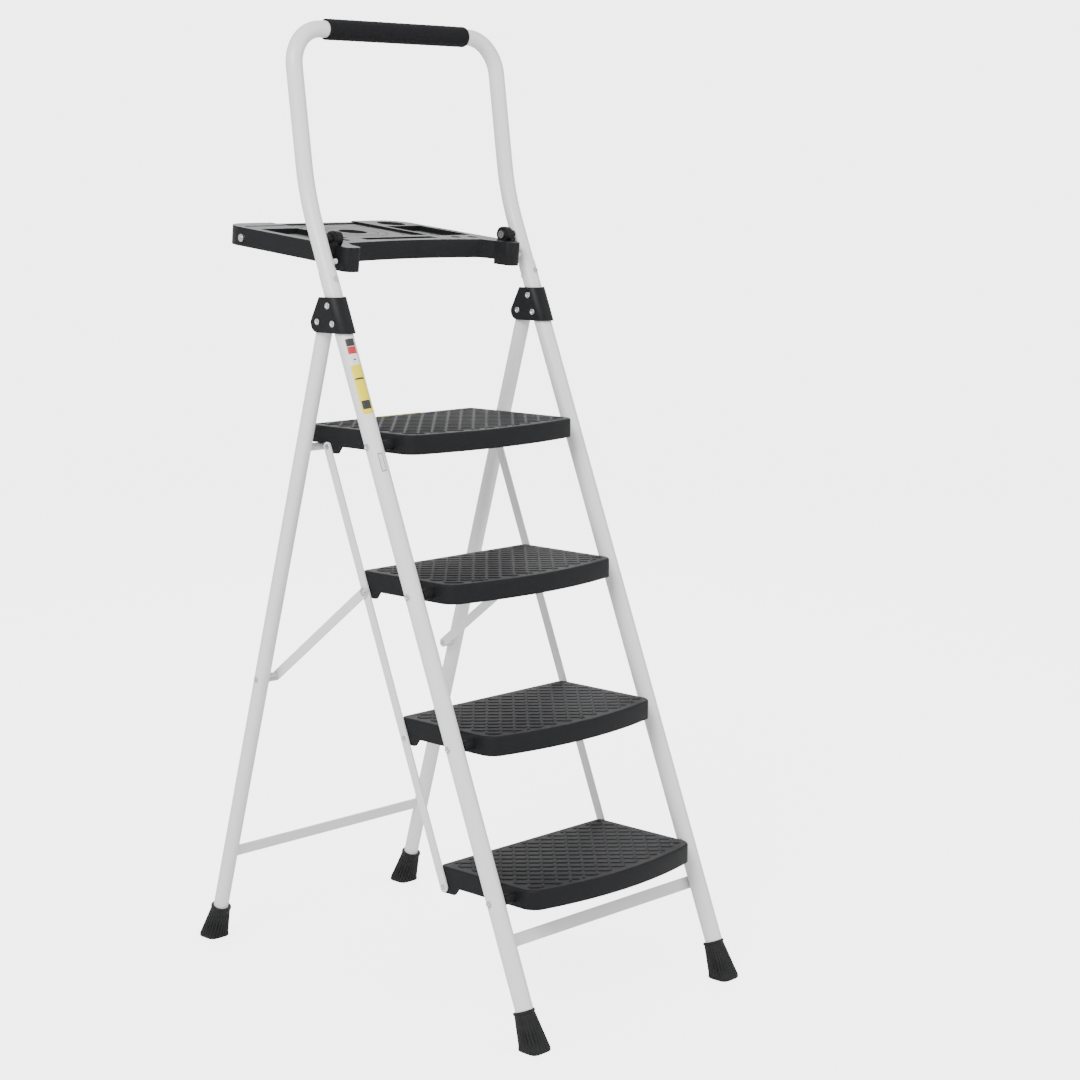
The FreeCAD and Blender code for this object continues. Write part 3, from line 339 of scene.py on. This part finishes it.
def tube_of_rings(rings: np.ndarray, capped: bool = True, looped: bool = False) -> Surface:
    """A closed surface through rings of points that run anticlockwise seen from the far end.

    Args:
        rings: points, (rings, points in a ring, 3).
        capped: whether both ends close on a middle point.
        looped: whether the last ring joins the first instead.

    Returns:
        The surface.
    """
    count, around = rings.shape[:2]
    points = rings.reshape(-1, 3)
    quads = grid_quads(count, around, wrap_rows=looped, wrap_cols=True)
    if looped or not capped:
        return Surface(points, quads)
    turn = np.arange(around)
    after = (turn + 1) % around
    first = np.full(around, len(points))
    last = first + 1
    far = (count - 1) * around
    tris = np.concatenate([np.stack([first, after, turn], -1),
                           np.stack([last, far + turn, far + after], -1)])
    ends = np.stack([rings[0].mean(0), rings[-1].mean(0)])
    return Surface(np.concatenate([points, ends]), quads, tris)


def lathe(profile: list[tuple[float, float]], around: int = 40, looped: bool = False) -> Surface:
    """Turns a profile about the X axis.

    A point of the surface is (a, r cos t, r sin t) for each profile point (a, r) and turn t.

    Args:
        profile: pairs of distance along X and radius, running towards +X on the outside.
        around: points in a turn.
        looped: whether the profile closes on itself, as a ring's does.

    Returns:
        The surface, capped at both ends unless looped.
    """
    along, radius = np.array(profile, float).T
    turn = np.linspace(0.0, math.tau, around, endpoint=False)
    rings = np.stack([np.broadcast_to(along[:, None], (len(along), around)),
                      radius[:, None] * np.cos(turn), radius[:, None] * np.sin(turn)], -1)
    return tube_of_rings(rings, looped=looped)


def arc(centre: tuple[float, float], radius: float, start: float, end: float,
        steps: int = 8) -> list[tuple[float, float]]:
    """Points of a round stretch of a profile.

    Args:
        centre: the arc's middle.
        radius: its radius.
        start: first angle, degrees.
        end: last angle, degrees.
        steps: number of pieces.

    Returns:
        The points.
    """
    angles = np.radians(np.linspace(start, end, steps + 1))
    return [(centre[0] + radius * math.cos(a), centre[1] + radius * math.sin(a)) for a in angles]


def along_x(x: float, y: float, z: float, side: float = 1.0) -> Matrix:
    """A place whose local +X points to the given side.

    Args:
        x: place along X.
        y: place along Y.
        z: place along Z.
        side: 1 for +X, -1 for -X.

    Returns:
        The transform.
    """
    turn = Matrix.Identity(4) if side > 0 else Matrix.Rotation(math.pi, 4, "Z")
    return Matrix.Translation((x, y, z)) @ turn


def add(surface: Surface, name: str, slot: Slot, body: str, *replaced: str,
        finish: Finish | None = None, smooth: float | None = 40.0) -> bpy.types.Object:
    """Makes a piece with its slot's finish and rides it on a body.

    Args:
        surface: its shape.
        name: its name.
        slot: the record's slot.
        body: the CAD body that it rides on.
        *replaced: CAD nodes that it stands for.
        finish: a finish other than the slot's own.
        smooth: see Surface.object.

    Returns:
        The piece.
    """
    piece = surface.object(name, finish or FINISHES[slot], smooth)
    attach(piece, body)
    if replaced:
        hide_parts(*replaced)
    return piece


def joint_place(name: str) -> Vector:
    """Where a hinge's axis is at rest.

    Args:
        name: the joint.

    Returns:
        Its point, in the row frame.
    """
    found = [joint for joint in frame["joints"] if joint["name"] == name]
    return Vector(found[0]["pos_m"])


# ---------------------------------------------------------------- sub-assemblies

class CadFinishes:
    """Gives every CAD node that stays the finish of its slot, with softened edges where asked."""

    def apply(self) -> int:
        """Assigns the finishes.

        Returns:
            How many nodes have one.
        """
        slots = {part["node"]: Slot(part["material_slot"]) for part in frame["record"]["subparts"]}
        for node, obj in frame["nodes"].items():
            material = FINISHES[slots[node]].material()
            for place in obj.material_slots:
                place.material = material
            if not obj.material_slots:
                obj.data.materials.append(material)
        return len(slots)

    def soften(self, width: float, *nodes: str) -> None:
        """Rounds the sharp edges of moulded pieces.

        Args:
            width: how much of each face a rounded edge takes.
            *nodes: CAD nodes.
        """
        for node in nodes:
            obj = frame["nodes"][node]
            weld = obj.modifiers.new("weld", "WELD")
            weld.merge_threshold = 1e-6
            bevel = obj.modifiers.new("bevel", "BEVEL")
            bevel.width = width
            bevel.segments = 3
            bevel.limit_method = "ANGLE"
            bevel.angle_limit = math.radians(38)
            bevel.harden_normals = False


@dataclass
class Tread:
    """The ribbed skin on top of one step.

    Attributes:
        number: the step's number.
        border: smooth margin between the ridges and the skin's edge.
        inset: skin's edge inside the step's edge.
        bow: middle of the front edge ahead of its sides.
        front_round: radius of the front corners.
        rear_round: radius of the rear corners.
        wave: length of a wave of the ridges.
        swing: how far a ridge swings to each side.
        ridge: half the width of a ridge.
        height: height of a ridge.
        spacing: distance between grid points.
        tie_gap: air between a step and its tie bar.
    """

    number: int
    border: float = 0.0095
    inset: float = 0.0031
    bow: float = 0.026
    front_round: float = 0.026
    rear_round: float = 0.012
    wave: float = 0.0306
    swing: float = 0.0054
    ridge: float = 0.0034
    height: float = 0.0015
    spacing: float = 0.00105
    tie_gap: float = 0.0012

    @property
    def box(self) -> tuple[float, float, float, float]:
        """Half width, front, rear and top of the step's body.

        Returns:
            The four lengths.
        """
        low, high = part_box(f"step_{self.number}")
        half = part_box("tie_bar_right")[0][0] - self.tie_gap
        return half, low[1], high[1], high[2]

    def edges(self, x: np.ndarray) -> tuple[np.ndarray, np.ndarray]:
        """Front and rear edge of the skin at each x.

        The front is an arc whose middle stands bow ahead of its ends; both edges turn in round
        corners at the sides.

        Args:
            x: places across the step.

        Returns:
            Y of the front edge and of the rear edge.
        """
        half, low_y, high_y, _ = self.box
        radius = (half ** 2 + self.bow ** 2) / (2 * self.bow) - self.inset
        front = low_y + radius + self.inset - np.sqrt(radius ** 2 - x ** 2)
        rear = np.full_like(x, high_y - self.inset)
        for edge, turn, way in ((front, self.front_round, 1.0), (rear, self.rear_round, -1.0)):
            r = turn - self.inset
            over = np.clip(np.abs(x) - (half - self.inset - r), 0.0, r)
            edge += way * (r - np.sqrt(np.maximum(r * r - over * over, 0.0)))
        return front, rear

    def relief(self, x: np.ndarray, y: np.ndarray, room: np.ndarray) -> np.ndarray:
        """Height of the ridges.

        Rows of ridges run across the step as sine waves, every other row in antiphase. The height
        is a round bump of the distance to the nearest ridge, and fades out in the border.

        Args:
            x: places across the step.
            y: places along it.
            room: distance to the skin's edge.

        Returns:
            Height above the tread.
        """
        phase = math.tau * x / self.wave
        slope = self.swing * math.tau / self.wave * np.cos(phase)
        stretch = np.sqrt(1.0 + slope ** 2)
        row = self.wave
        near = np.inf
        for start, sign in ((0.0, 1.0), (row / 2, -1.0)):
            gap = y - start - sign * self.swing * np.sin(phase)
            gap = np.abs((gap + row / 2) % row - row / 2) / stretch
            near = np.minimum(near, gap)
        bump = np.clip(1.0 - near / self.ridge, 0.0, 1.0)
        fade = np.clip((room - self.border) / 0.002, 0.0, 1.0)
        return self.height * bump * bump * (3.0 - 2.0 * bump) * fade * fade * (3.0 - 2.0 * fade)

    def build(self) -> bpy.types.Object:
        """Makes the skin: a grid across and along, dropped at its edge and closed below.

        Returns:
            The piece.
        """
        node = f"step_{self.number}"
        half, low_y, high_y, top = self.box
        across = int((half - self.inset) * 2 / self.spacing)
        share = np.linspace(-1.0, 1.0, across)
        bend = np.sin(share * math.pi / 2) * 0.04 + share * 0.96
        x = bend * (half - self.inset)
        front, rear = self.edges(x)
        along = int((high_y - low_y) / self.spacing)
        t = np.linspace(0.0, 1.0, along)[:, None]
        y = front * (1.0 - t) + rear * t
        x = np.broadcast_to(x, y.shape)
        corner = np.minimum(half - self.inset - np.abs(x), np.minimum(y - front, rear - y))
        z = top + 0.00006 + self.relief(x, y, corner)
        points = np.stack([x, y, z], -1).reshape(-1, 3)
        numbers = np.arange(len(points)).reshape(along, across)
        ring = np.concatenate([numbers[0, :-1], numbers[:-1, -1], numbers[-1, :0:-1],
                               numbers[:0:-1, 0]])
        below = points[ring] - (0.0, 0.0, 0.0012)
        first = len(points)
        turn = np.arange(len(ring))
        after = (turn + 1) % len(ring)
        wall = np.stack([ring, first + turn, first + after, ring[after]], -1)
        skin = Surface(np.concatenate([points, below]),
                       np.concatenate([grid_quads(along, across), wall]),
                       fans=[(first + turn[::-1]).tolist()])
        return add(skin, f"{node}_tread", Slot.STEP, node, smooth=60.0)


@dataclass
class Grip:
    """The foam sleeve on the handrail, with rounded ends.

    Attributes:
        node: the CAD node that it replaces.
        turn: radius of the rounded ends.
    """

    node: str = "handrail_grip"
    turn: float = 0.0022

    def build(self) -> bpy.types.Object:
        """Turns the sleeve's closed outline about the handrail's axis.

        Returns:
            The piece.
        """
        low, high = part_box(self.node)
        y, z = (low[1] + high[1]) / 2, (low[2] + high[2]) / 2
        outer, half = (high[2] - low[2]) / 2, (high[0] - low[0]) / 2
        bore = outer - 0.00345
        swell = np.linspace(-1.0, 1.0, 90)
        body = [(half * 0.97 * s, outer - 0.00012 * (1 + math.sin(s * 61))) for s in swell]
        r = self.turn
        outline = ([(-half, bore)] + arc((-half + r, outer - r), r, 180, 100, 6) + body
                   + arc((half - r, outer - r), r, 80, 0, 6) + [(half, bore)])
        sleeve = lathe(outline, 64, looped=True).moved(along_x(0.0, y, z))
        piece = add(sleeve, "grip_foam", Slot.FOAM, "front_frame", self.node, smooth=50.0)
        return piece


class Head(Enum):
    """Kinds of rivet and screw heads."""

    HOLLOW = "hollow"
    DOME = "dome"
    FLAT = "flat"


@dataclass
class Rivet:
    """A turned rivet along X.

    Attributes:
        place: middle of its axis in Y and Z.
        inner: where its inner end is.
        outer: where its outer end is.
        head: radius of its heads.
        shank: radius of its shank.
        thick: thickness of its heads.
        kinds: kinds of the inner and the outer head.
        side: 1 on the right, -1 on the left.
    """

    place: tuple[float, float]
    inner: float
    outer: float
    head: float
    shank: float
    thick: float
    kinds: tuple[Head, Head]
    side: float

    def half(self, kind: Head) -> list[tuple[float, float]]:
        """Outline of one head, from the shank out to its middle.

        Args:
            kind: the kind of head.

        Returns:
            Pairs of height above the seat and radius.
        """
        rim, tall = self.head, self.thick
        if kind is Head.FLAT:
            edge = min(tall * 0.4, 0.0003)
            return [(0.0, self.shank), (0.0, rim), *arc((tall - edge, rim - edge), edge, 90, 0, 4)]
        crown = [(tall * math.sin(a), rim * math.cos(a) ** 0.8)
                 for a in np.linspace(0.0, math.pi / 2 * 0.94, 10)]
        if kind is Head.DOME:
            return [(0.0, self.shank), *crown]
        roll = [(tall * (0.55 + 0.45 * math.sin(a)), rim * (0.82 + 0.18 * math.cos(a)))
                for a in np.linspace(-math.pi / 2, math.pi, 14)]
        return [(0.0, self.shank), (0.0, rim * 0.9), *roll, (tall * 0.35, rim * 0.5),
                (tall * 0.05, rim * 0.42), (0.0, rim * 0.2)]

    def surface(self) -> Surface:
        """Turns the whole rivet.

        Returns:
            The surface in place.
        """
        length = self.outer - self.inner - 2 * self.thick
        start = self.inner + self.thick
        left = [(-up, out) for up, out in reversed(self.half(self.kinds[0]))]
        right = [(length + up, out) for up, out in self.half(self.kinds[1])]
        turned = lathe(left + right, 32)
        return turned.moved(along_x(start * self.side, *self.place, self.side))


@dataclass
class Fasteners:
    """All rivets and screws, worked out from the joints and the boxes of the CAD nodes.

    Attributes:
        main_head: radius of the heads of the leg and step pivot rivets.
        clamp_head: radius of the heads of the knuckles' clamp rivets.
        small_head: radius of the heads of the tie bars' and brace links' rivets.
        main_shank: radius of the shank of a main pivot rivet.
        small_shank: radius of the shank of a small rivet.
    """

    main_head: float = 0.0052
    clamp_head: float = 0.00525
    small_head: float = 0.0048
    main_shank: float = 0.004
    small_shank: float = 0.003

    def rivets_of(self, node: str, places: list, inner: float, kinds: tuple[Head, Head],
                  thick: float, head: float, shank: float, sides=SIDES) -> list[Surface]:
        """Rivets of one node, the same on each side.

        Args:
            node: the CAD node, whose box gives the outer end.
            places: (y, z) of each rivet.
            inner: inner end from the middle plane.
            kinds: kinds of heads.
            thick: thickness of the heads.
            head: radius of the heads.
            shank: radius of the shank.
            sides: the sides to make.

        Returns:
            The rivets' surfaces.
        """
        low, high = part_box(node)
        outer = max(abs(low[0]), abs(high[0]))
        return [Rivet(place, inner, outer, head, shank, thick, kinds, side).surface()
                for _, side in sides for place in places]

    def build(self) -> int:
        """Makes every set of rivets.

        Returns:
            The number of sets.
        """
        leg = joint_place("rear_frame_fold")
        steps = [joint_place(f"step_{number}_fold") for number in range(1, 5)]
        gauge = (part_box("rail_right")[0][0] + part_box("rail_right")[1][0]) / 2
        hollow = (Head.HOLLOW, Head.HOLLOW)
        low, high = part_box("knuckle_rivets")
        rim = self.clamp_head
        places = [(high[1] - rim, high[2] - rim), (low[1] + rim, low[2] + rim)]
        inner = 2 * gauge - high[0]
        self.make("knuckle_rivets", places, inner, hollow, 0.0015, rim, self.small_shank,
                  "front_frame")
        inner = 2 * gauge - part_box("leg_pivot_rivets")[1][0]
        self.make("leg_pivot_rivets", [(leg[1], leg[2])], inner, hollow, 0.002,
                  self.main_head, self.main_shank, "front_frame")
        places = [(step[1], step[2]) for step in steps]
        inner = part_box("tie_bar_right")[0][0] - 0.0018
        self.make("step_pivot_rivets", places, inner, (Head.FLAT, Head.HOLLOW), 0.002,
                  self.main_head, self.main_shank, "front_frame")
        offset = joint_place("tie_right_pivot") - steps[1]
        places = [(step[1] + offset[1], step[2] + offset[2]) for step in steps]
        for word, side in SIDES:
            node = f"tie_rivets_{word}"
            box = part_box(node)
            inner = min(abs(box[0][0]), abs(box[1][0]))
            self.make(node, places, inner, (Head.FLAT, Head.DOME), 0.0008, self.small_head,
                      self.small_shank, f"tie_{word}", ((word, side),))
            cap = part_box(f"brace_cap_{word}")
            middle = ((cap[0][1] + cap[1][1]) / 2, (cap[0][2] + cap[1][2]) / 2)
            self.cap(word, side, middle)
        brace = joint_place("brace_right_pivot")
        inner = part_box("brace_link_right")[0][0] - 0.0010
        self.make("brace_leg_rivets", [(brace[1], brace[2])], inner, hollow, 0.0008,
                  self.small_head, self.small_shank, "rear_frame")
        return 6

    def make(self, node: str, places: list, inner: float, kinds: tuple[Head, Head], thick: float,
             head: float, shank: float, body: str, sides=SIDES) -> bpy.types.Object:
        """Makes one set as a piece that replaces its CAD node.

        Args:
            node: the CAD node.
            places: (y, z) of each rivet.
            inner: inner end from the middle plane.
            kinds: kinds of heads.
            thick: thickness of the heads.
            head: radius of the heads.
            shank: radius of the shank.
            body: the body that it rides on.
            sides: the sides to make.

        Returns:
            The piece.
        """
        turned = self.rivets_of(node, places, inner, kinds, thick, head, shank, sides)
        return add(Surface.joined(turned), f"{node}_turned", Slot.STEEL, body, node, smooth=35.0)

    def cap(self, word: str, side: float, middle: tuple[float, float]) -> bpy.types.Object:
        """The washer and domed rivet at the upper end of a brace link.

        Args:
            word: left or right.
            side: -1 or 1.
            middle: its place in Y and Z.

        Returns:
            The piece.
        """
        node = f"brace_cap_{word}"
        low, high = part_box(node)
        inner = min(abs(low[0]), abs(high[0]))
        outer = max(abs(low[0]), abs(high[0]))
        wide, flat_top, dome = (high[2] - low[2]) / 2, 0.0013, 0.0046
        tall = outer - inner - flat_top
        outline = [(0.0, wide * 0.5), (0.0, wide - 0.0003), (0.0003, wide),
                   (flat_top - 0.0003, wide), (flat_top, wide - 0.0004), (flat_top, dome)]
        outline += [(flat_top + tall * math.sin(a), dome * math.cos(a) ** 0.8)
                    for a in np.linspace(0.15, math.pi / 2 * 0.95, 9)]
        turned = lathe(outline, 40).moved(along_x(inner * side, *middle, side))
        return add(turned, f"{node}_turned", Slot.STEEL, f"brace_{word}", node, smooth=35.0)


@dataclass
class Boot:
    """A rubber foot: a flared, pleated boot below a thin round lip.

    Attributes:
        end: front or rear.
        word: left or right.
        ribs: number of upright ribs around it.
        rib: depth of the flutes between the ribs.
        around: points in a ring.
        collar: radius of the lip at the top.
        squareness: power of the sole's superellipse.
    """

    end: str
    word: str
    ribs: int = 22
    rib: float = 0.0019
    around: int = 352
    collar: float = 0.0175
    squareness: float = 4.2

    def build(self) -> bpy.types.Object:
        """Lofts the boot from its flat sole straight up to the leaning collar.

        The sole's outline is a superellipse and the collar's a circle square to the tube. The
        rings between them are straight blends of the two, drawn in at the flutes.

        Returns:
            The piece.
        """
        node = f"{self.end}_foot_{self.word}"
        low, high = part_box(node)
        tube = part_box(f"{'rail' if self.end == 'front' else 'rear_leg'}_{self.word}")
        rise = tube[1] - tube[0]
        way = 1.0 if self.end == "front" else -1.0
        radius = rise[0] / 2
        lean = way * math.atan2(rise[1] - 2 * radius, rise[2])
        axis = np.array([0.0, math.sin(lean), math.cos(lean)])
        middle_x = (low[0] + high[0]) / 2
        half_x = (high[0] - low[0]) / 2
        sole_y = low[1] + half_x - 0.0005 if way > 0 else high[1] - half_x + 0.0005
        base = np.array([middle_x, sole_y, 0.0])
        foot_of_axis = np.array([middle_x, (tube[0][1] + radius * 0.93 if way > 0
                                            else tube[1][1] - radius * 0.96), tube[0][2]])
        foot_of_axis = foot_of_axis - axis * foot_of_axis[2] / axis[2]
        top = (high[2] - self.collar * abs(math.sin(lean))) / axis[2]
        turn = np.linspace(0.0, math.tau, self.around, endpoint=False)
        cos, sin = np.cos(turn), np.sin(turn)
        power = self.squareness
        square = (np.abs(cos) ** power + np.abs(sin) ** power) ** (-1.0 / power)
        flutes = self.rib * (0.5 - 0.5 * np.clip(np.cos(turn * self.ribs) * 1.6 + 0.5, -1.0, 1.0))
        long_way = np.array([0.0, math.cos(lean), -math.sin(lean)])
        sole = np.stack([half_x * square * cos, half_x * 0.976 * square * sin, 0 * turn], -1)
        ring = np.stack([cos, sin * long_way[1], sin * long_way[2]], -1)
        out = np.stack([cos, sin, 0 * turn], -1)

        def low_ring(height: float, size: float) -> np.ndarray:
            """A level ring of the sole's outline.

            Args:
                height: height above the floor.
                size: scale of the outline.

            Returns:
                Its points.
            """
            return base + sole * size + (0.0, 0.0, height)

        def high_ring(along: float, size: float) -> np.ndarray:
            """A round ring square to the tube.

            Args:
                along: distance along the tube's axis from the floor.
                size: radius.

            Returns:
                Its points.
            """
            return foot_of_axis + axis * along + ring * size

        rings = [low_ring(0.0, 0.95), low_ring(0.0006, 0.985), low_ring(0.0018, 1.0),
                 low_ring(0.0055, 0.995)]
        start, end = low_ring(0.0062, 0.985), high_ring(top - 0.0046, 0.0163)
        for share in np.linspace(0.0, 1.0, 13):
            fade = math.sin(math.pi * min(1.0, share * 1.25 + 0.12)) ** 0.6 if share < 0.7 else (
                max(0.0, 1.0 - (share - 0.7) / 0.24))
            straight = start * (1.0 - share) + end * share
            rings.append(straight - out * (flutes * fade)[:, None])
        rings += [high_ring(top - 0.0040, 0.0165), high_ring(top - 0.0034, self.collar),
                  high_ring(top - 0.0008, self.collar), high_ring(top, 0.0169),
                  high_ring(top, radius + 0.0002), high_ring(top - 0.0200, radius + 0.0001)]
        points = np.stack(rings)
        boot = tube_of_rings(points)
        body = "front_frame" if self.end == "front" else "rear_frame"
        return add(boot, f"{node}_boot", Slot.RUBBER, body, node, smooth=42.0)


@dataclass
class RailLabels:
    """Plain stickers on the left rail, each a thin patch bent round the tube.

    Attributes:
        facing: middle of the stickers, in degrees from the front towards the left.
        lift: height of a sticker above the tube.
        gauge: thickness of a sticker.
    """

    facing: float = 17.0
    lift: float = 0.00004
    gauge: float = 0.00016

    def patch(self, low_z: float, high_z: float, start: float, end: float,
              layer: int = 0) -> Surface:
        """A closed shell between two heights and two angles round the rail.

        A point is the rail axis at its height plus the radius along the turned front direction.

        Args:
            low_z: lower edge.
            high_z: upper edge.
            start: first angle from the middle, degrees.
            end: last angle from the middle, degrees.
            layer: 0 for the base, 1 for print on it.

        Returns:
            The shell.
        """
        low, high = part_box("rail_left")
        radius = (high[0] - low[0]) / 2
        middle_x = (low[0] + high[0]) / 2
        pivots = [joint_place(f"step_{number}_fold") for number in (1, 4)]
        run = pivots[1] - pivots[0]
        slope = run[1] / run[2]
        lean = math.atan(slope)
        heights = np.linspace(low_z, high_z, 14)
        angles = np.radians(np.linspace(start, end, 26) + self.facing)
        inner = radius + self.lift + layer * self.gauge
        shells = []
        for r in (inner, inner + self.gauge):
            z, turn = np.meshgrid(heights, angles, indexing="ij")
            axis_y = pivots[0][1] + (z - pivots[0][2]) * slope
            out = -np.cos(turn)
            shells.append(np.stack([middle_x - r * np.sin(turn), axis_y + r * out * math.cos(lean),
                                    z - r * out * math.sin(lean)], -1))
        rows, cols = shells[0].shape[:2]
        count = rows * cols
        numbers = np.arange(count).reshape(rows, cols)
        ring = np.concatenate([numbers[0, :-1], numbers[:-1, -1], numbers[-1, :0:-1],
                               numbers[:0:-1, 0]])
        after = np.roll(ring, -1)
        face = grid_quads(rows, cols)
        quads = np.concatenate([face, face[:, ::-1] + count,
                                np.stack([ring, ring + count, after + count, after], -1)])
        return Surface(np.concatenate([shell.reshape(-1, 3) for shell in shells]), quads)

    def build(self) -> int:
        """Makes the stickers.

        Returns:
            How many there are.
        """
        parts = {
            "sticker_yellow": (LABEL_YELLOW, [(0.9430, 1.0169, -39, 39, 0)]),
            "sticker_dark": (LABEL_DARK, [(1.0460, 1.0572, -30, 30, 0),
                                          (0.9950, 0.9975, -30, 30, 1),
                                          (0.9500, 0.9630, -30, 30, 1),
                                          (1.0244, 1.0262, -10, 8, 0)]),
            "sticker_red": (LABEL_RED, [(1.0343, 1.0452, -30, 30, 0)]),
            "sticker_white": (LABEL_WHITE, [(0.8561, 0.8816, -12.8, 12.8, 0)]),
            "sticker_box": (LABEL_DARK, [(0.8552, 0.8561, -16, 16, 0), (0.8816, 0.8825, -16, 16, 0),
                                         (0.8561, 0.8816, -16, -13, 0),
                                         (0.8561, 0.8816, 13, 16, 0)]),
        }
        for name, (finish, patches) in parts.items():
            sheet = Surface.joined([self.patch(*patch) for patch in patches])
            add(sheet, name, Slot.WHITE, "front_frame", finish=finish, smooth=30.0)
        return len(parts)


@dataclass
class PlatformStrip:
    """A thin yellow strip along the rear top edge of the platform.

    Attributes:
        left: its left end.
        right: its right end.
        width: its width over the edge.
    """

    left: float = -0.036
    right: float = 0.063
    width: float = 0.0050

    def build(self) -> bpy.types.Object:
        """Makes the strip as a thin bar on the tread's rear border.

        Returns:
            The piece.
        """
        _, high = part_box("step_4")
        rear, top = high[1] - 0.0034, high[2] + 0.0001
        outline = np.array([(rear - self.width, top), (rear, top), (rear, top + 0.0007),
                            (rear - self.width, top + 0.0007)])
        x = np.linspace(self.left, self.right, 12)
        rings = np.stack([np.repeat(x[:, None], 4, 1), np.repeat(outline[None, :, 0], 12, 0),
                          np.repeat(outline[None, :, 1], 12, 0)], -1)
        return add(tube_of_rings(rings), "platform_strip", Slot.WHITE, "step_4",
                   finish=LABEL_YELLOW, smooth=30.0)


@dataclass
class Studio:
    """Floor, lights and camera.

    Attributes:
        place: where the camera is.
        yaw: turn of the camera about the vertical, degrees.
        pitch: tilt of the camera, degrees.
        roll: roll of the camera, degrees.
        lens: focal length on a 36 mm wide sensor, millimetres.
        backdrop: extra brightness of the floor and backdrop to the camera.
    """

    place: tuple[float, float, float] = (-2.6606, -2.7307, 1.3245)
    yaw: float = -46.237
    pitch: float = 9.046
    roll: float = 0.078
    lens: float = 77.617
    backdrop: float = 3.6

    def camera(self) -> bpy.types.Object:
        """Makes the camera.

        Returns:
            The camera object.
        """
        a, e, r = (math.radians(v) for v in (self.yaw, self.pitch, self.roll))
        back = Vector((math.sin(a) * math.cos(e), -math.cos(a) * math.cos(e), math.sin(e)))
        right = Vector((math.cos(a), math.sin(a), 0.0))
        up = back.cross(right)
        turned_right = math.cos(r) * right + math.sin(r) * up
        turned_up = -math.sin(r) * right + math.cos(r) * up
        data = bpy.data.cameras.new("camera")
        data.lens = self.lens
        data.sensor_width = 36.0
        data.clip_end = 60.0
        made = bpy.data.objects.new("camera", data)
        made.matrix_world = Matrix.Translation(self.place) @ Matrix(
            (turned_right, turned_up, back)).transposed().to_4x4()
        bpy.context.scene.collection.objects.link(made)
        bpy.context.scene.camera = made
        return made

    def light(self, name: str, place: tuple[float, float, float], size: float, power: float,
              target: tuple[float, float, float] = (0.0, 0.0, 0.7)) -> None:
        """Adds one large soft light.

        Args:
            name: its name.
            place: where it is.
            size: side of its square.
            power: watts.
            target: what it points at.
        """
        data = bpy.data.lights.new(name, "AREA")
        data.shape = "SQUARE"
        data.size = size
        data.energy = power
        made = bpy.data.objects.new(name, data)
        made.location = place
        aim = Vector(target) - Vector(place)
        made.rotation_euler = aim.to_track_quat("-Z", "Y").to_euler()
        bpy.context.scene.collection.objects.link(made)

    def glow(self, material: bpy.types.Material) -> None:
        """Makes a finish look brighter to the camera alone, so it lights nothing else.

        Args:
            material: the finish.
        """
        tree = material.node_tree
        shader = tree.nodes["Principled BSDF"]
        shader.inputs["Emission Color"].default_value = (1.0, 1.0, 1.0, 1.0)
        seen = tree.nodes.new("ShaderNodeLightPath")
        level = tree.nodes.new("ShaderNodeMath")
        level.operation = "MULTIPLY"
        level.inputs[1].default_value = self.backdrop
        tree.links.new(seen.outputs["Is Camera Ray"], level.inputs[0])
        tree.links.new(level.outputs["Value"], shader.inputs["Emission Strength"])

    def build(self) -> None:
        """Makes the floor, the lights, the sky and the camera."""
        world = bpy.data.worlds.new("studio")
        world.use_nodes = True
        world.node_tree.nodes["Background"].inputs["Color"].default_value = (0.94, 0.95, 0.97, 1.0)
        world.node_tree.nodes["Background"].inputs["Strength"].default_value = 1.0
        bpy.context.scene.world = world
        turn = np.linspace(0.0, math.tau, 96, endpoint=False)[None, :]
        rise = np.radians(np.linspace(0.0, 80.0, 14))
        reach = np.concatenate([(0.02, 1.0, 3.0), 6.0 + 4.0 * np.sin(rise)])[:, None]
        height = np.concatenate([(0.0, 0.0, 0.0), 4.0 * (1.0 - np.cos(rise))])[:, None]
        floor = tube_of_rings(np.stack([reach * np.cos(turn), reach * np.sin(turn),
                                        height + 0.0 * turn - 0.0002], -1), capped=False)
        floor.quads = floor.quads[:, ::-1]
        floor.fans = [list(range(turn.size))]
        floor.object("floor", FLOOR)
        self.glow(FLOOR.material())
        self.light("key", (-3.4, -1.4, 3.6), 2.2, 170.0)
        self.light("fill", (1.6, -3.6, 2.2), 2.6, 30.0)
        self.light("rim", (2.6, 2.6, 3.0), 2.4, 45.0)
        self.camera()


def main() -> None:
    """Builds the looks, sub-assembly by sub-assembly."""
    logging.basicConfig(level=logging.INFO)
    finishes = CadFinishes()
    LOG.info("finished %d nodes", finishes.apply())
    finishes.soften(0.0015, "knuckle_left", "knuckle_right", "tool_tray")
    finishes.soften(0.0024, "step_1", "step_2", "step_3", "step_4")
    for number in range(1, 5):
        tread = Tread(number).build()
        LOG.info("%s has %d faces", tread.name, len(tread.data.polygons))
    Grip().build()
    LOG.info("%d sets of rivets", Fasteners().build())
    for end in ("front", "rear"):
        for word, _ in SIDES:
            Boot(end, word).build()
    LOG.info("%d stickers", RailLabels().build())
    PlatformStrip().build()
    Studio().build()


if __name__ == "__main__":
    main()
